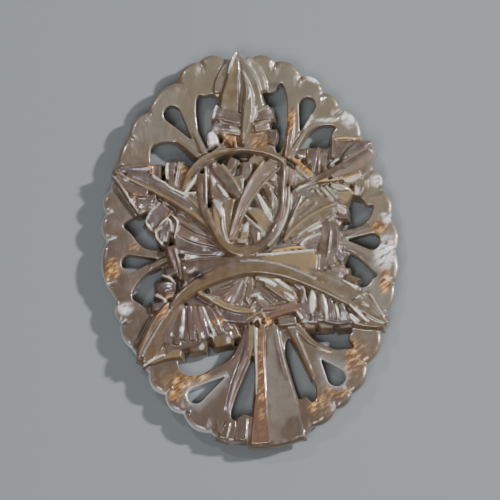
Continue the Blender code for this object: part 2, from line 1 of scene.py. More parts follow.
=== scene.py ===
"""Looks of the carved mother-of-pearl ornament, laid out as a Blender add-on.

One piece stands for the whole carving: a plate with a scalloped rim, pierced in bays, with leaves, stems
and a looped vine standing on it in gouged strips. The strips are swept by Geometry Nodes along rails and
joined to the plate. Sizes in the tables are in millimetres and angles in degrees.
"""

import math

import bmesh
import bpy
import numpy as np
from mathutils import Matrix, Vector
from mathutils.geometry import delaunay_2d_cdt


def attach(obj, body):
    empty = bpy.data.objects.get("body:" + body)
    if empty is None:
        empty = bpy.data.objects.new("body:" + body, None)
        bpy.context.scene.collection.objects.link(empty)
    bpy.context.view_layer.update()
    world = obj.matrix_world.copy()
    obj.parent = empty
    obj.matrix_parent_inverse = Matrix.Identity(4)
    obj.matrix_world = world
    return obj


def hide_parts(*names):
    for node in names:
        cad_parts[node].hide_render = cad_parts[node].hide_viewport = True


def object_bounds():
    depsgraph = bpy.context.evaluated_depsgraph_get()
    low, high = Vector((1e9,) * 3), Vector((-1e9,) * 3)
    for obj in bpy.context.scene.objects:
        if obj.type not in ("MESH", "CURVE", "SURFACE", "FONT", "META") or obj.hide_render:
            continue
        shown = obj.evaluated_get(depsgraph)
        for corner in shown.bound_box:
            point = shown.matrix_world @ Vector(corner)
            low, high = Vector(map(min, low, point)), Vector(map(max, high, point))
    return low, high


bl_info = {
    "name": "Carved mother-of-pearl ornament",
    "version": (1, 0, 0),
    "blender": (4, 5, 0),
    "location": "3D View > Sidebar > Shell carving",
    "description": "Builds the nacre carving and its stage around the packed model",
    "category": "Object",
}

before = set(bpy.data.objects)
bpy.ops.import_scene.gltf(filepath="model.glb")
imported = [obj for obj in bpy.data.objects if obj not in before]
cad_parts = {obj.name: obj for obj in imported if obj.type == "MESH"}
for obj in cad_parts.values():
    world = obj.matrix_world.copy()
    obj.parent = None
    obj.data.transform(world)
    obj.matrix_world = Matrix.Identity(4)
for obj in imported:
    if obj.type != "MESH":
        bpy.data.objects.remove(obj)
CAD_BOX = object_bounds()

MM = 0.001
HALF_LENGTH = 29.1
HALF_WIDTH = 20.8
OVAL_LEAN = 5.3
PLATE_THICKNESS = 1.9
DISH_RISE = 1.6
PAD_DEPTH = 0.15
SCALLOP_RISE = 0.9

# Notches of the scalloped rim: angle round the oval, distance out as a share of the oval, and the rise of
# the scallop after it. The rise is 0 where a leaf tip or the ribbon's foot takes the place of a scallop.
NOTCHES = (
    (83, 0.99, SCALLOP_RISE), (72, 1.01, SCALLOP_RISE), (61, 1.00, SCALLOP_RISE), (51, 1.00, 0.7),
    (43, 1.00, 1.3), (30, 0.99, 0), (21, 0.99, 0.7), (14, 1.00, SCALLOP_RISE), (5, 1.01, SCALLOP_RISE),
    (-5, 1.02, 0.6), (-14, 1.02, 0.5), (-23, 1.00, 0), (-29, 0.98, 1.0), (-41, 0.98, SCALLOP_RISE),
    (-52, 1.00, 0.6), (-60, 0.99, 0.7), (-71, 0.99, 0), (-76, 1.03, 0.4), (-97, 1.03, 0), (-99, 1.00, 0.7),
    (-113, 1.00, SCALLOP_RISE), (-125, 0.99, SCALLOP_RISE), (-134, 0.98, SCALLOP_RISE), (-143, 0.98, 0),
    (-153, 1.00, 0.6), (-161, 1.00, 0.5), (-168, 0.99, 0), (-173, 1.03, 0.8), (174, 1.00, 0.8),
    (166, 1.01, 0.8), (159, 1.01, 0), (151, 1.00, 0.4), (141, 1.00, 0.4), (133, 1.01, 0),
    (130, 0.98, SCALLOP_RISE), (114, 0.98, SCALLOP_RISE), (103, 1.02, 0.8), (93, 1.00, 0),
)

# Teardrop holes: centre and radius of the round end, then the pointed end
TEARDROPS = (
    ((-11.4, 20.3), 1.25, (-8.4, 16.4)),
    ((8.5, 21.7), 1.2, (7.4, 17.7)),
    ((17.9, 1.0), 1.2, (14.1, 1.4)),
    ((12.6, -19.3), 1.35, (10.3, -16.4)),
    ((-7.8, -22.0), 1.2, (-3.3, -18.9)),
    ((-17.4, -2.3), 1.25, (-13.3, -1.5)),
)

# The other sawn holes, anticlockwise; the side that runs under a leaf is plain
OPENINGS = {
    "left_of_top_leaf": (
        (-4.6, 22.8), (-5.5, 23.4), (-6.6, 23.1), (-7.7, 23.0), (-7.8, 19.9), (-7.1, 16.0), (-6.2, 14.5),
        (-3.6, 17.0), (-3.1, 22.3),
    ),
    "right_of_top_leaf": (
        (5.0, 24.5), (4.6, 25.1), (4.2, 24.8), (3.9, 24.0), (3.0, 23.6), (2.0, 23.6), (1.3, 22.0),
        (1.8, 18.1), (3.0, 17.1), (4.2, 14.6), (5.0, 16.3), (5.5, 18.6), (5.5, 22.5),
    ),
    "above_left_leaf": (
        (-9.4, 15.2), (-10.9, 16.0), (-12.3, 16.1), (-13.5, 15.8), (-14.4, 15.2), (-14.5, 13.0),
        (-13.8, 11.5), (-12.6, 9.9), (-10.1, 9.3), (-8.3, 11.5), (-7.1, 13.5),
    ),
    "above_right_leaf": (
        (12.8, 18.2), (11.9, 18.6), (10.3, 18.5), (9.1, 17.9), (7.8, 16.8), (6.6, 15.5), (5.8, 13.9),
        (7.1, 13.0), (8.3, 13.2), (10.3, 13.2), (11.7, 14.6), (12.1, 17.7),
    ),
    "below_right_leaf": (
        (18.1, 6.4), (17.1, 6.5), (16.3, 7.5), (13.9, 7.5), (12.3, 5.0), (12.3, 2.9), (14.7, 2.9),
        (16.1, 3.4), (17.1, 4.0), (17.8, 5.1),
    ),
    "right_side": (
        (14.1, -0.6), (12.9, -1.2), (13.9, -4.2), (15.8, -5.6), (17.0, -5.7), (17.9, -4.6), (18.6, -4.1),
        (17.6, -3.1), (16.6, -2.0), (15.4, -1.1),
    ),
    "below_lower_right_leaf": (
        (14.9, -12.3), (13.9, -11.0), (8.8, -11.0), (7.4, -12.2), (8.5, -13.4), (9.7, -14.4),
        (11.0, -14.9), (12.5, -15.1), (15.1, -14.8), (14.3, -13.5),
    ),
    "right_of_ribbon": (
        (6.1, -13.6), (5.4, -13.6), (5.2, -15.7), (5.6, -18.7), (6.1, -20.8), (6.8, -22.3), (7.5, -22.5),
        (7.9, -22.1), (8.4, -22.3), (9.0, -23.0), (9.6, -22.5), (9.5, -20.5), (8.4, -18.2), (7.7, -16.4),
        (6.9, -14.6),
    ),
    "left_of_ribbon": (
        (1.2, -12.9), (0.6, -12.9), (0.5, -15.8), (-0.7, -18.9), (-2.0, -22.2), (-2.6, -24.3),
        (-2.6, -25.4), (-2.1, -25.7), (-1.1, -24.8), (0.0, -25.0), (0.5, -25.1), (1.0, -23.0),
        (1.3, -20.3), (1.3, -15.0),
    ),
    "below_lower_left_leaf": (
        (-0.5, -12.3), (-3.0, -12.4), (-5.8, -12.6), (-9.3, -12.8), (-10.6, -14.4), (-10.2, -17.6),
        (-9.4, -18.9), (-8.0, -19.0), (-6.5, -18.7), (-5.3, -18.1), (-3.6, -17.3), (-2.0, -16.4),
        (-1.4, -15.6), (-0.9, -13.8),
    ),
    "below_left_leaf": (
        (-14.9, 5.2), (-16.7, 4.7), (-18.4, 3.4), (-17.3, 2.2), (-16.4, 1.0), (-15.4, 0.1), (-13.8, -0.2),
        (-12.6, -0.3), (-11.1, 0.8), (-12.3, 2.5), (-13.6, 3.6),
    ),
    "left_side": (
        (-11.8, -3.4), (-12.9, -2.9), (-15.0, -3.8), (-16.1, -5.0), (-16.9, -6.4), (-17.0, -7.6),
        (-15.8, -8.4), (-15.0, -8.9), (-13.4, -7.9), (-12.3, -5.5),
    ),
}

# Each carved strip is its sideways slope and its tone, then its stations from root to tip: x, y, half width
# and height above the back of the plate. A slope above 0 lifts the left side, seen along the strip.
TOP_LEAF = (
    (0.0, "plain", (-0.9, 15.0, 1.5, 2.45), (-0.9, 18.0, 3.4, 2.65), (-1.0, 20.4, 3.3, 2.75),
     (-1.1, 22.4, 3.0, 2.8), (-1.2, 24.6, 2.1, 2.85), (-1.4, 26.6, 1.3, 2.8), (-1.7, 28.9, 0.4, 2.65)),
    (-0.25, "plain", (-4.2, 23.4, 1.1, 2.5), (-3.9, 25.0, 1.2, 2.5), (-3.4, 26.8, 0.9, 2.45),
     (-2.8, 28.2, 0.4, 2.4)),
    (0.25, "plain", (1.7, 23.8, 0.8, 2.55), (1.4, 25.4, 0.9, 2.5), (0.6, 27.4, 0.7, 2.45),
     (-0.4, 28.8, 0.3, 2.4)),
    (0.05, "olive", (-2.8, 20.2, 1.2, 2.6), (-2.95, 22.0, 1.25, 2.9), (-2.5, 25.0, 0.9, 2.95),
     (-2.15, 27.0, 0.6, 2.9), (-1.85, 29.5, 0.12, 2.7)),
    (-0.05, "plain", (0.7, 20.2, 1.0, 2.6), (0.75, 22.0, 1.05, 2.9), (0.3, 25.0, 0.8, 2.92),
     (-0.6, 27.0, 0.5, 2.88), (-1.65, 29.4, 0.12, 2.7)),
    (0.0, "plain", (-0.95, 15.6, 0.12, 3.05), (-0.65, 17.6, 0.45, 3.35), (-0.25, 20.6, 0.6, 3.45),
     (-0.1, 23.0, 0.5, 3.35), (-0.45, 24.8, 0.3, 3.15), (-1.1, 26.6, 0.12, 3.0)),
    (0.0, "white", (-0.15, 22.4, 0.1, 3.55), (0.1, 23.2, 0.16, 3.5), (-0.1, 24.2, 0.08, 3.35)),
    (0.0, "white", (0.35, 18.8, 0.1, 3.3), (0.75, 20.2, 0.16, 3.3), (0.8, 21.4, 0.1, 3.2)),
    (0.0, "white", (-3.2, 26.2, 0.08, 2.98), (-2.7, 27.8, 0.14, 2.98), (-2.0, 29.5, 0.12, 2.85)),
    (0.1, "brown", (-1.3, 19.4, 0.85, 3.0), (-3.3, 20.0, 0.9, 2.95), (-4.9, 20.4, 0.95, 2.6)),
    (0.0, "white", (-4.8, 21.6, 0.1, 2.7), (-5.2, 20.7, 0.12, 2.65), (-5.4, 19.5, 0.1, 2.55)),
    (0.1, "dusk", (-1.3, 17.8, 0.35, 2.95), (-3.4, 18.25, 0.4, 2.8), (-5.3, 18.8, 0.3, 2.5)),
    (0.0, "white", (-1.4, 17.5, 0.2, 3.0), (-2.9, 18.3, 0.14, 2.9)),
    (0.0, "rose", (-1.4, 17.1, 0.1, 2.95), (-3.5, 17.5, 0.12, 2.75), (-5.4, 18.2, 0.1, 2.45)),
    (-0.15, "pale", (-5.7, 17.7, 0.3, 2.2), (-5.4, 16.7, 0.65, 2.28), (-5.2, 15.7, 0.6, 2.28)),
    (-0.1, "brown", (0.8, 19.6, 0.45, 3.0), (2.2, 20.1, 0.75, 2.9), (3.4, 20.4, 0.8, 2.55)),
    (0.0, "pale", (1.2, 20.6, 0.08, 3.05), (2.8, 21.5, 0.1, 2.8)),
    (-0.1, "rose", (0.8, 17.8, 0.25, 2.9), (2.0, 18.2, 0.5, 2.8), (3.0, 18.4, 0.45, 2.55)),
    (0.0, "pale", (0.7, 18.4, 0.08, 3.0), (3.1, 19.3, 0.1, 2.7)),
    (-0.2, "dusk", (3.3, 15.8, 0.3, 2.4), (3.5, 17.0, 0.55, 2.45), (3.4, 18.0, 0.35, 2.4)),
    (0.0, "rose", (-2.0, 14.9, 0.2, 2.7), (-2.3, 16.8, 0.25, 2.7)),
)
RIGHT_LEAF = (
    (0.0, "brown", (8.8, 10.1, 0.9, 2.8), (10.6, 11.3, 2.2, 2.85), (12.6, 12.0, 3.1, 2.8),
     (14.8, 12.8, 2.4, 2.7), (16.8, 13.9, 1.4, 2.4)),
    (0.0, "umber", (7.0, 9.2, 0.15, 3.35), (9.0, 9.9, 0.3, 3.8), (11.2, 10.9, 0.36, 3.85),
     (13.2, 12.0, 0.3, 3.8), (15.6, 13.5, 0.2, 3.55), (17.9, 15.0, 0.1, 3.1)),
    (0.0, "rose", (13.6, 12.6, 0.07, 3.85), (15.8, 13.9, 0.07, 3.62), (17.9, 15.15, 0.07, 3.15)),
    (-0.3, "dusk", (13.4, 13.0, 0.15, 3.55), (14.7, 14.2, 0.5, 3.6), (15.9, 15.0, 0.6, 3.5),
     (17.1, 15.5, 0.4, 3.2), (17.9, 15.7, 0.12, 2.9)),
    (0.3, "rose", (12.0, 10.6, 0.3, 3.55), (14.0, 11.6, 0.75, 3.45), (15.6, 12.4, 0.95, 3.35),
     (17.1, 13.6, 0.85, 3.1), (18.0, 14.6, 0.4, 2.8)),
    (0.0, "umber", (13.6, 11.75, 0.08, 3.85), (15.8, 13.2, 0.1, 3.6), (17.6, 14.5, 0.08, 3.2)),
    (0.0, "umber", (12.6, 13.2, 0.5, 3.3), (13.3, 14.3, 1.2, 3.15), (14.1, 15.4, 1.8, 3.0),
     (14.2, 16.1, 2.2, 2.75)),
    (0.0, "rose", (12.1, 13.4, 0.08, 3.4), (12.2, 16.1, 0.08, 2.85)),
    (0.0, "gold", (12.0, 16.35, 0.12, 2.75), (14.2, 16.5, 0.15, 2.75), (16.4, 16.35, 0.12, 2.6)),
    (0.1, "umber", (11.0, 11.6, 0.2, 3.4), (10.9, 13.2, 0.5, 3.0), (10.9, 15.0, 0.6, 2.6)),
    (0.0, "rose", (10.1, 11.4, 0.07, 3.42), (10.2, 13.6, 0.07, 3.02), (10.1, 15.2, 0.07, 2.65)),
    (0.0, "white", (11.8, 12.2, 0.08, 3.6), (12.7, 13.0, 0.12, 3.5), (13.1, 13.1, 0.08, 3.5)),
    (-0.1, "umber", (9.3, 11.3, 0.2, 3.3), (9.3, 13.1, 0.45, 3.0), (9.3, 15.1, 0.55, 2.6)),
    (0.0, "umber", (8.6, 12.6, 0.1, 3.0), (8.5, 15.1, 0.15, 2.6)),
    (-0.1, "umber", (7.7, 13.4, 0.4, 2.8), (7.3, 14.9, 0.85, 2.5)),
    (0.1, "gold", (6.1, 13.7, 0.14, 2.95), (7.6, 12.4, 0.26, 3.05), (9.0, 10.8, 0.34, 3.25)),
    (0.0, "white", (6.8, 12.3, 0.1, 3.1), (8.6, 10.5, 0.12, 3.3)),
    (0.0, "umber", (6.6, 11.9, 0.1, 3.0), (8.3, 10.2, 0.12, 3.2)),
    (0.0, "white", (6.5, 11.4, 0.08, 3.1), (7.9, 10.0, 0.1, 3.3)),
    (0.0, "rose", (6.5, 9.9, 0.12, 3.1), (8.1, 9.9, 0.16, 3.4)),
    (0.0, "white", (6.8, 8.7, 0.1, 3.2), (7.8, 9.1, 0.14, 3.5), (9.6, 9.7, 0.1, 3.6)),
    (0.1, "umber", (9.4, 9.0, 0.4, 3.2), (7.6, 8.3, 0.4, 2.9)),
    (0.0, "gold", (9.8, 9.8, 0.08, 3.55), (12.4, 10.05, 0.08, 3.4), (14.4, 10.4, 0.08, 3.3),
     (16.3, 11.2, 0.08, 3.1)),
    (0.0, "white", (13.8, 9.9, 0.12, 3.3), (15.0, 10.1, 0.4, 3.25), (16.4, 10.8, 0.12, 3.1)),
    (0.0, "plain", (16.3, 10.2, 0.7, 3.0), (16.1, 9.0, 0.8, 2.9), (15.8, 7.7, 0.5, 2.4)),
    (0.1, "cream", (12.2, 9.0, 0.5, 3.4), (13.6, 8.2, 1.1, 3.2), (14.7, 7.4, 0.8, 2.7)),
    (0.0, "pale", (11.9, 9.2, 0.2, 3.6), (13.2, 8.9, 0.45, 3.55), (14.3, 8.7, 0.12, 3.3)),
    (-0.2, "pale", (11.1, 9.2, 0.16, 3.5), (12.9, 7.3, 0.25, 3.2)),
    (-0.2, "white", (10.4, 9.0, 0.14, 3.5), (12.2, 7.1, 0.2, 3.1)),
    (-0.2, "rose", (9.7, 8.8, 0.16, 3.4), (10.9, 7.2, 0.22, 3.0)),
)
LOWER_RIGHT_LEAF = (
    (0.0, "dusk", (8.0, -7.5, 1.6, 3.2), (10.5, -8.3, 2.5, 3.2), (13.0, -9.0, 2.6, 3.1),
     (15.5, -9.6, 1.9, 2.9), (18.0, -10.6, 1.1, 2.4)),
    (0.1, "olive", (8.0, -3.8, 0.6, 4.45), (10.4, -4.9, 0.95, 4.2), (12.6, -6.0, 1.1, 3.95),
     (14.8, -7.5, 1.1, 3.7), (16.8, -9.0, 0.95, 3.35), (18.6, -10.5, 0.6, 2.9), (20.0, -11.5, 0.15, 2.5)),
    (0.0, "white", (13.5, -5.2, 0.1, 4.0), (14.6, -5.9, 0.22, 3.85), (15.8, -6.2, 0.12, 3.6)),
    (0.0, "white", (15.3, -8.0, 0.1, 3.95), (17.0, -7.0, 0.12, 3.3)),
    (0.0, "pale", (16.3, -8.4, 0.12, 3.6), (17.6, -9.0, 0.18, 3.2)),
    (0.2, "dusk", (16.9, -6.8, 0.3, 2.5), (18.2, -8.8, 0.4, 2.6), (19.6, -10.7, 0.4, 2.5)),
    (0.0, "pale", (17.5, -6.9, 0.08, 2.65), (18.5, -8.7, 0.08, 2.75), (19.6, -10.6, 0.08, 2.65)),
    (0.1, "brown", (11.0, -3.9, 0.5, 3.6), (13.2, -4.6, 0.6, 3.2)),
    (0.0, "rose", (12.0, -3.3, 0.25, 3.5), (14.4, -3.6, 0.35, 2.9)),
    (0.1, "umber", (14.0, -4.6, 0.5, 3.2), (15.8, -5.3, 0.5, 2.8)),
    (0.1, "brown", (7.7, -6.6, 0.35, 3.8), (7.9, -9.0, 0.6, 3.5), (8.0, -11.3, 0.6, 2.9)),
    (-0.15, "white", (9.1, -6.2, 0.1, 4.05), (9.15, -7.6, 0.36, 3.9), (9.1, -8.9, 0.4, 3.7),
     (9.0, -10.0, 0.1, 3.5)),
    (0.1, "brown", (9.4, -9.6, 0.4, 3.45), (9.3, -11.4, 0.6, 3.0)),
    (0.1, "umber", (10.0, -6.7, 0.2, 3.9), (10.2, -9.0, 0.3, 3.6), (10.1, -11.2, 0.35, 3.0)),
    (0.0, "white", (10.6, -7.2, 0.1, 4.0), (11.0, -9.1, 0.18, 3.75), (11.2, -10.9, 0.12, 3.3)),
    (0.1, "umber", (11.5, -7.6, 0.3, 3.8), (11.8, -9.4, 0.45, 3.5), (11.9, -11.4, 0.45, 2.9)),
    (0.0, "pale", (12.4, -8.6, 0.08, 3.8), (12.9, -10.9, 0.14, 3.3)),
    (0.1, "brown", (13.2, -8.6, 0.35, 3.7), (13.6, -10.0, 0.45, 3.4), (13.9, -11.3, 0.45, 2.9)),
    (0.0, "white", (14.5, -10.1, 0.1, 3.5), (15.0, -10.7, 0.35, 3.2), (15.9, -11.2, 0.12, 3.0)),
    (0.0, "white", (14.4, -8.7, 0.1, 3.95), (15.8, -10.0, 0.16, 3.6), (17.1, -11.3, 0.1, 3.1)),
    (0.0, "plain", (8.8, -9.4, 0.8, 3.2), (8.75, -11.0, 0.95, 2.95), (8.7, -12.1, 0.6, 2.4)),
    (0.0, "plain", (11.2, -9.4, 1.0, 3.2), (11.2, -11.0, 1.15, 2.9), (11.2, -12.1, 0.8, 2.4)),
    (0.0, "plain", (13.6, -9.8, 0.8, 3.1), (13.9, -11.2, 1.0, 2.8), (14.0, -12.1, 0.8, 2.4)),
    (0.1, "olive", (15.0, -10.9, 0.6, 3.0), (17.2, -11.2, 0.8, 2.8), (19.6, -11.5, 0.6, 2.5)),
)
LOWER_LEFT_LEAF = (
    (0.0, "umber", (-3.6, -9.8, 1.8, 2.9), (-6.5, -10.9, 2.6, 3.0), (-9.5, -12.2, 2.9, 2.9),
     (-12.5, -13.5, 2.2, 2.7), (-14.9, -15.6, 1.4, 2.4)),
    (0.0, "rose", (-11.4, -8.6, 0.5, 3.7), (-12.9, -10.7, 0.75, 3.5), (-14.3, -12.9, 0.65, 3.2),
     (-15.5, -15.3, 0.4, 3.0), (-16.1, -16.9, 0.15, 2.6)),
    (0.0, "cream", (-11.9, -8.6, 0.08, 3.85), (-14.1, -11.7, 0.08, 3.5), (-15.9, -16.0, 0.08, 3.0)),
    (0.0, "pale", (-11.2, -9.0, 0.08, 3.95), (-13.3, -12.2, 0.08, 3.6), (-15.5, -16.3, 0.08, 3.0)),
    (0.15, "olive", (-10.2, -7.7, 0.4, 3.9), (-11.9, -10.7, 0.5, 3.7), (-13.5, -13.5, 0.45, 3.4),
     (-15.6, -16.5, 0.25, 2.9)),
    (-0.15, "olive", (-10.0, -8.8, 0.25, 3.8), (-11.4, -11.3, 0.45, 3.6), (-12.6, -13.5, 0.55, 3.3),
     (-14.2, -16.0, 0.5, 3.0), (-15.4, -17.3, 0.25, 2.6)),
    (0.0, "white", (-12.4, -16.1, 0.1, 2.9), (-13.9, -16.8, 0.14, 2.7), (-15.4, -17.8, 0.12, 2.3)),
    (0.0, "cream", (-10.0, -15.6, 0.7, 2.75), (-12.4, -16.0, 0.75, 2.65), (-14.4, -17.1, 0.4, 2.4)),
    (0.0, "olive", (-11.2, -13.8, 1.0, 2.95), (-11.0, -16.1, 1.25, 2.6)),
    (0.0, "olive", (-7.8, -12.6, 1.0, 3.1), (-7.6, -14.4, 1.25, 2.9), (-7.5, -15.5, 1.05, 2.4)),
    (0.0, "olive", (-4.6, -11.8, 1.0, 3.1), (-4.0, -13.4, 1.4, 2.9), (-3.7, -14.6, 1.2, 2.4)),
    (0.0, "olive", (-2.6, -11.6, 0.5, 3.0), (-1.9, -13.4, 0.6, 2.6)),
    (-0.15, "brown", (-10.7, -10.4, 0.25, 3.5), (-11.6, -12.6, 0.6, 3.4), (-12.1, -14.5, 0.5, 3.1)),
    (0.15, "umber", (-10.0, -9.2, 0.25, 3.6), (-10.5, -12.0, 0.45, 3.5), (-10.7, -14.6, 0.3, 3.1)),
    (0.0, "pale", (-9.6, -9.2, 0.08, 3.7), (-9.7, -11.4, 0.1, 3.6), (-9.9, -13.8, 0.08, 3.3)),
    (0.0, "dusk", (-9.2, -8.8, 0.15, 3.6), (-9.2, -11.6, 0.3, 3.45), (-9.3, -14.0, 0.2, 3.1)),
    (-0.15, "brown", (-8.7, -8.8, 0.2, 3.7), (-8.5, -11.4, 0.45, 3.6), (-8.2, -14.0, 0.4, 3.2)),
    (0.1, "rose", (-8.1, -8.8, 0.15, 3.7), (-7.6, -11.4, 0.35, 3.6), (-7.0, -13.8, 0.3, 3.2)),
    (-0.15, "umber", (-7.5, -8.8, 0.2, 3.7), (-6.8, -11.2, 0.4, 3.6), (-6.0, -13.6, 0.35, 3.2)),
    (0.0, "pale", (-6.9, -8.9, 0.08, 3.75), (-5.9, -11.4, 0.1, 3.55), (-5.0, -13.3, 0.08, 3.2)),
    (0.1, "brown", (-6.3, -8.8, 0.25, 3.7), (-5.2, -10.9, 0.45, 3.55), (-4.2, -12.9, 0.4, 3.2)),
    (-0.1, "umber", (-5.4, -9.0, 0.3, 3.6), (-4.0, -10.8, 0.5, 3.4), (-2.9, -12.4, 0.45, 3.1)),
    (0.0, "rose", (-4.9, -9.1, 0.08, 3.7), (-3.4, -10.9, 0.08, 3.4)),
    (0.2, "dusk", (-10.6, -3.4, 0.5, 3.4), (-12.2, -3.8, 0.55, 2.8)),
    (0.0, "white", (-10.8, -5.6, 0.1, 3.3), (-11.5, -4.7, 0.12, 3.2), (-12.8, -4.1, 0.12, 2.7)),
    (0.15, "dusk", (-10.8, -5.9, 0.5, 3.5), (-12.4, -6.0, 0.8, 3.1), (-13.6, -6.1, 0.7, 2.6)),
    (0.0, "white", (-12.2, -8.3, 0.1, 3.4), (-12.6, -7.7, 0.14, 3.2), (-13.8, -7.1, 0.14, 2.6)),
    (0.15, "dusk", (-12.3, -8.6, 0.35, 3.4), (-14.2, -9.0, 0.6, 2.8)),
    (0.0, "gold", (-11.0, -7.2, 0.25, 3.5), (-12.2, -7.5, 0.25, 3.2)),
)
LEFT_LEAF = (
    (0.0, "brown", (-5.4, 2.0, 1.6, 3.3), (-8.5, 4.4, 2.4, 3.3), (-11.4, 6.3, 2.8, 3.1),
     (-14.0, 7.9, 2.5, 2.9), (-16.5, 9.1, 1.8, 2.6), (-18.6, 10.4, 0.9, 2.4)),
    (0.0, "cream", (-5.6, 2.6, 0.22, 4.35), (-8.0, 4.6, 0.25, 4.3), (-10.5, 6.35, 0.25, 4.1),
     (-13.0, 7.8, 0.22, 3.85), (-15.5, 9.1, 0.2, 3.5), (-17.8, 10.2, 0.15, 3.2), (-19.7, 11.15, 0.1, 2.7)),
    (-0.25, "brown", (-6.2, 3.6, 0.3, 4.2), (-7.2, 5.0, 0.7, 4.1), (-8.4, 6.3, 1.0, 4.05),
     (-10.0, 7.3, 0.95, 3.95), (-12.0, 8.3, 0.8, 3.75), (-14.0, 9.5, 0.55, 3.5), (-15.8, 10.3, 0.4, 3.2),
     (-18.0, 10.9, 0.25, 2.9)),
    (-0.2, "cream", (-6.1, 4.0, 0.2, 4.3), (-7.2, 5.9, 0.55, 4.3), (-8.4, 7.2, 0.5, 4.2),
     (-9.8, 7.7, 0.2, 4.05)),
    (0.0, "dusk", (-8.6, 5.6, 0.1, 4.2), (-10.9, 7.0, 0.15, 4.05), (-13.2, 8.4, 0.12, 3.8)),
    (0.0, "white", (-7.9, 8.0, 0.09, 4.3), (-8.8, 7.9, 0.14, 4.25), (-9.7, 7.8, 0.16, 4.2),
     (-10.6, 8.25, 0.09, 4.05), (-11.6, 8.75, 0.1, 3.95), (-12.3, 9.45, 0.09, 3.85),
     (-13.3, 9.95, 0.12, 3.7), (-14.3, 10.75, 0.14, 3.5)),
    (0.0, "white", (-9.5, 8.0, 0.11, 4.2), (-8.6, 9.2, 0.2, 4.2), (-7.7, 10.6, 0.09, 4.2)),
    (-0.2, "dusk", (-14.3, 11.2, 0.9, 3.2), (-16.4, 11.3, 0.7, 3.0), (-18.5, 11.5, 0.35, 2.7),
     (-20.0, 11.4, 0.12, 2.5)),
    (0.0, "rose", (-14.6, 12.35, 0.1, 3.2), (-17.0, 12.1, 0.1, 3.0), (-19.0, 11.9, 0.08, 2.7)),
    (0.0, "rose", (-14.4, 10.9, 0.3, 3.4), (-14.3, 12.3, 0.35, 3.1)),
    (-0.3, "dusk", (-13.4, 10.2, 0.3, 3.4), (-13.6, 12.5, 0.5, 2.7)),
    (0.3, "white", (-12.1, 10.1, 0.09, 3.6), (-12.2, 11.6, 0.14, 3.2), (-12.0, 12.8, 0.18, 2.8)),
    (-0.2, "brown", (-11.5, 9.2, 0.35, 3.6), (-11.4, 12.9, 0.5, 2.8)),
    (0.0, "pale", (-10.9, 9.2, 0.07, 3.8), (-10.6, 11.2, 0.07, 3.55), (-10.4, 12.9, 0.07, 3.0)),
    (-0.1, "rose", (-10.6, 8.9, 0.3, 3.6), (-10.2, 13.0, 0.4, 2.8)),
    (-0.1, "cream", (-9.8, 8.7, 0.35, 3.7), (-9.6, 10.9, 0.4, 3.3), (-9.3, 12.4, 0.35, 2.8)),
    (0.2, "brown", (-14.9, 8.0, 0.6, 3.5), (-16.6, 8.6, 0.95, 3.2), (-18.2, 9.5, 0.65, 2.9),
     (-19.6, 10.7, 0.15, 2.6)),
    (0.1, "brown", (-13.6, 7.2, 0.5, 3.5), (-15.2, 6.7, 1.0, 3.3), (-16.6, 6.4, 0.8, 2.9)),
    (0.0, "cream", (-14.2, 6.4, 0.15, 3.3), (-15.2, 5.6, 0.28, 3.1), (-16.3, 5.0, 0.2, 2.8)),
    (0.0, "pale", (-16.1, 4.9, 0.07, 2.8), (-17.2, 6.6, 0.12, 2.95), (-18.2, 8.1, 0.1, 2.95),
     (-19.2, 9.7, 0.1, 2.8), (-20.1, 10.7, 0.07, 2.5)),
    (0.0, "pale", (-13.6, 7.1, 0.07, 3.7), (-14.8, 4.9, 0.09, 3.2)),
    (-0.1, "brown", (-12.2, 6.1, 0.6, 3.65), (-13.5, 4.6, 0.9, 3.3), (-14.5, 3.2, 0.7, 2.8)),
    (0.0, "white", (-13.1, 6.6, 0.07, 3.7), (-15.1, 4.1, 0.1, 3.0), (-14.2, 2.4, 0.09, 2.9)),
    (0.0, "cream", (-11.3, 5.4, 0.1, 3.75), (-12.7, 3.6, 0.14, 3.4), (-14.1, 2.3, 0.14, 3.0)),
    (0.15, "brown", (-11.9, 3.9, 0.45, 3.5), (-12.4, 2.2, 0.7, 3.1), (-12.5, 0.8, 0.55, 2.7)),
    (0.0, "white", (-12.7, 3.4, 0.07, 3.3), (-13.7, 1.9, 0.09, 2.9), (-12.7, 0.4, 0.09, 2.7)),
    (0.0, "white", (-13.3, 3.1, 0.07, 3.4), (-11.8, 4.2, 0.14, 3.7), (-11.3, 2.2, 0.07, 3.4)),
    (0.0, "white", (-11.3, 4.7, 0.07, 3.8), (-10.5, 3.6, 0.09, 3.7), (-11.0, 1.3, 0.09, 3.3)),
    (0.05, "umber", (-4.6, 1.4, 0.5, 4.0), (-7.6, 3.2, 1.1, 3.7), (-10.4, 5.0, 1.0, 3.5)),
    (0.05, "bronze", (-4.4, 0.4, 0.5, 3.9), (-7.5, 1.6, 1.0, 3.6), (-10.4, 2.8, 0.9, 3.35)),
    (0.05, "dusk", (-4.0, -0.7, 0.5, 3.8), (-7.5, -0.2, 1.0, 3.45), (-10.6, 0.6, 0.8, 3.15)),
    (0.0, "rose", (-4.6, -0.1, 0.07, 3.98), (-7.2, 0.7, 0.07, 3.7), (-9.6, 1.7, 0.07, 3.45)),
    (0.0, "dusk", (-5.0, 1.9, 0.07, 4.0), (-7.9, 3.8, 0.07, 3.75), (-10.4, 5.4, 0.07, 3.55)),
    (0.0, "rose", (-4.9, 0.9, 0.1, 4.05), (-7.6, 2.5, 0.1, 3.8), (-10.2, 4.0, 0.08, 3.55)),
    (-0.2, "brown", (-11.6, 0.2, 0.55, 3.2), (-11.1, -1.5, 0.6, 3.3), (-10.5, -3.2, 0.5, 3.3),
     (-9.95, -4.9, 0.12, 3.1)),
    (0.0, "pale", (-10.95, -0.1, 0.07, 3.4), (-10.3, -2.3, 0.09, 3.5), (-9.9, -4.5, 0.07, 3.4)),
)
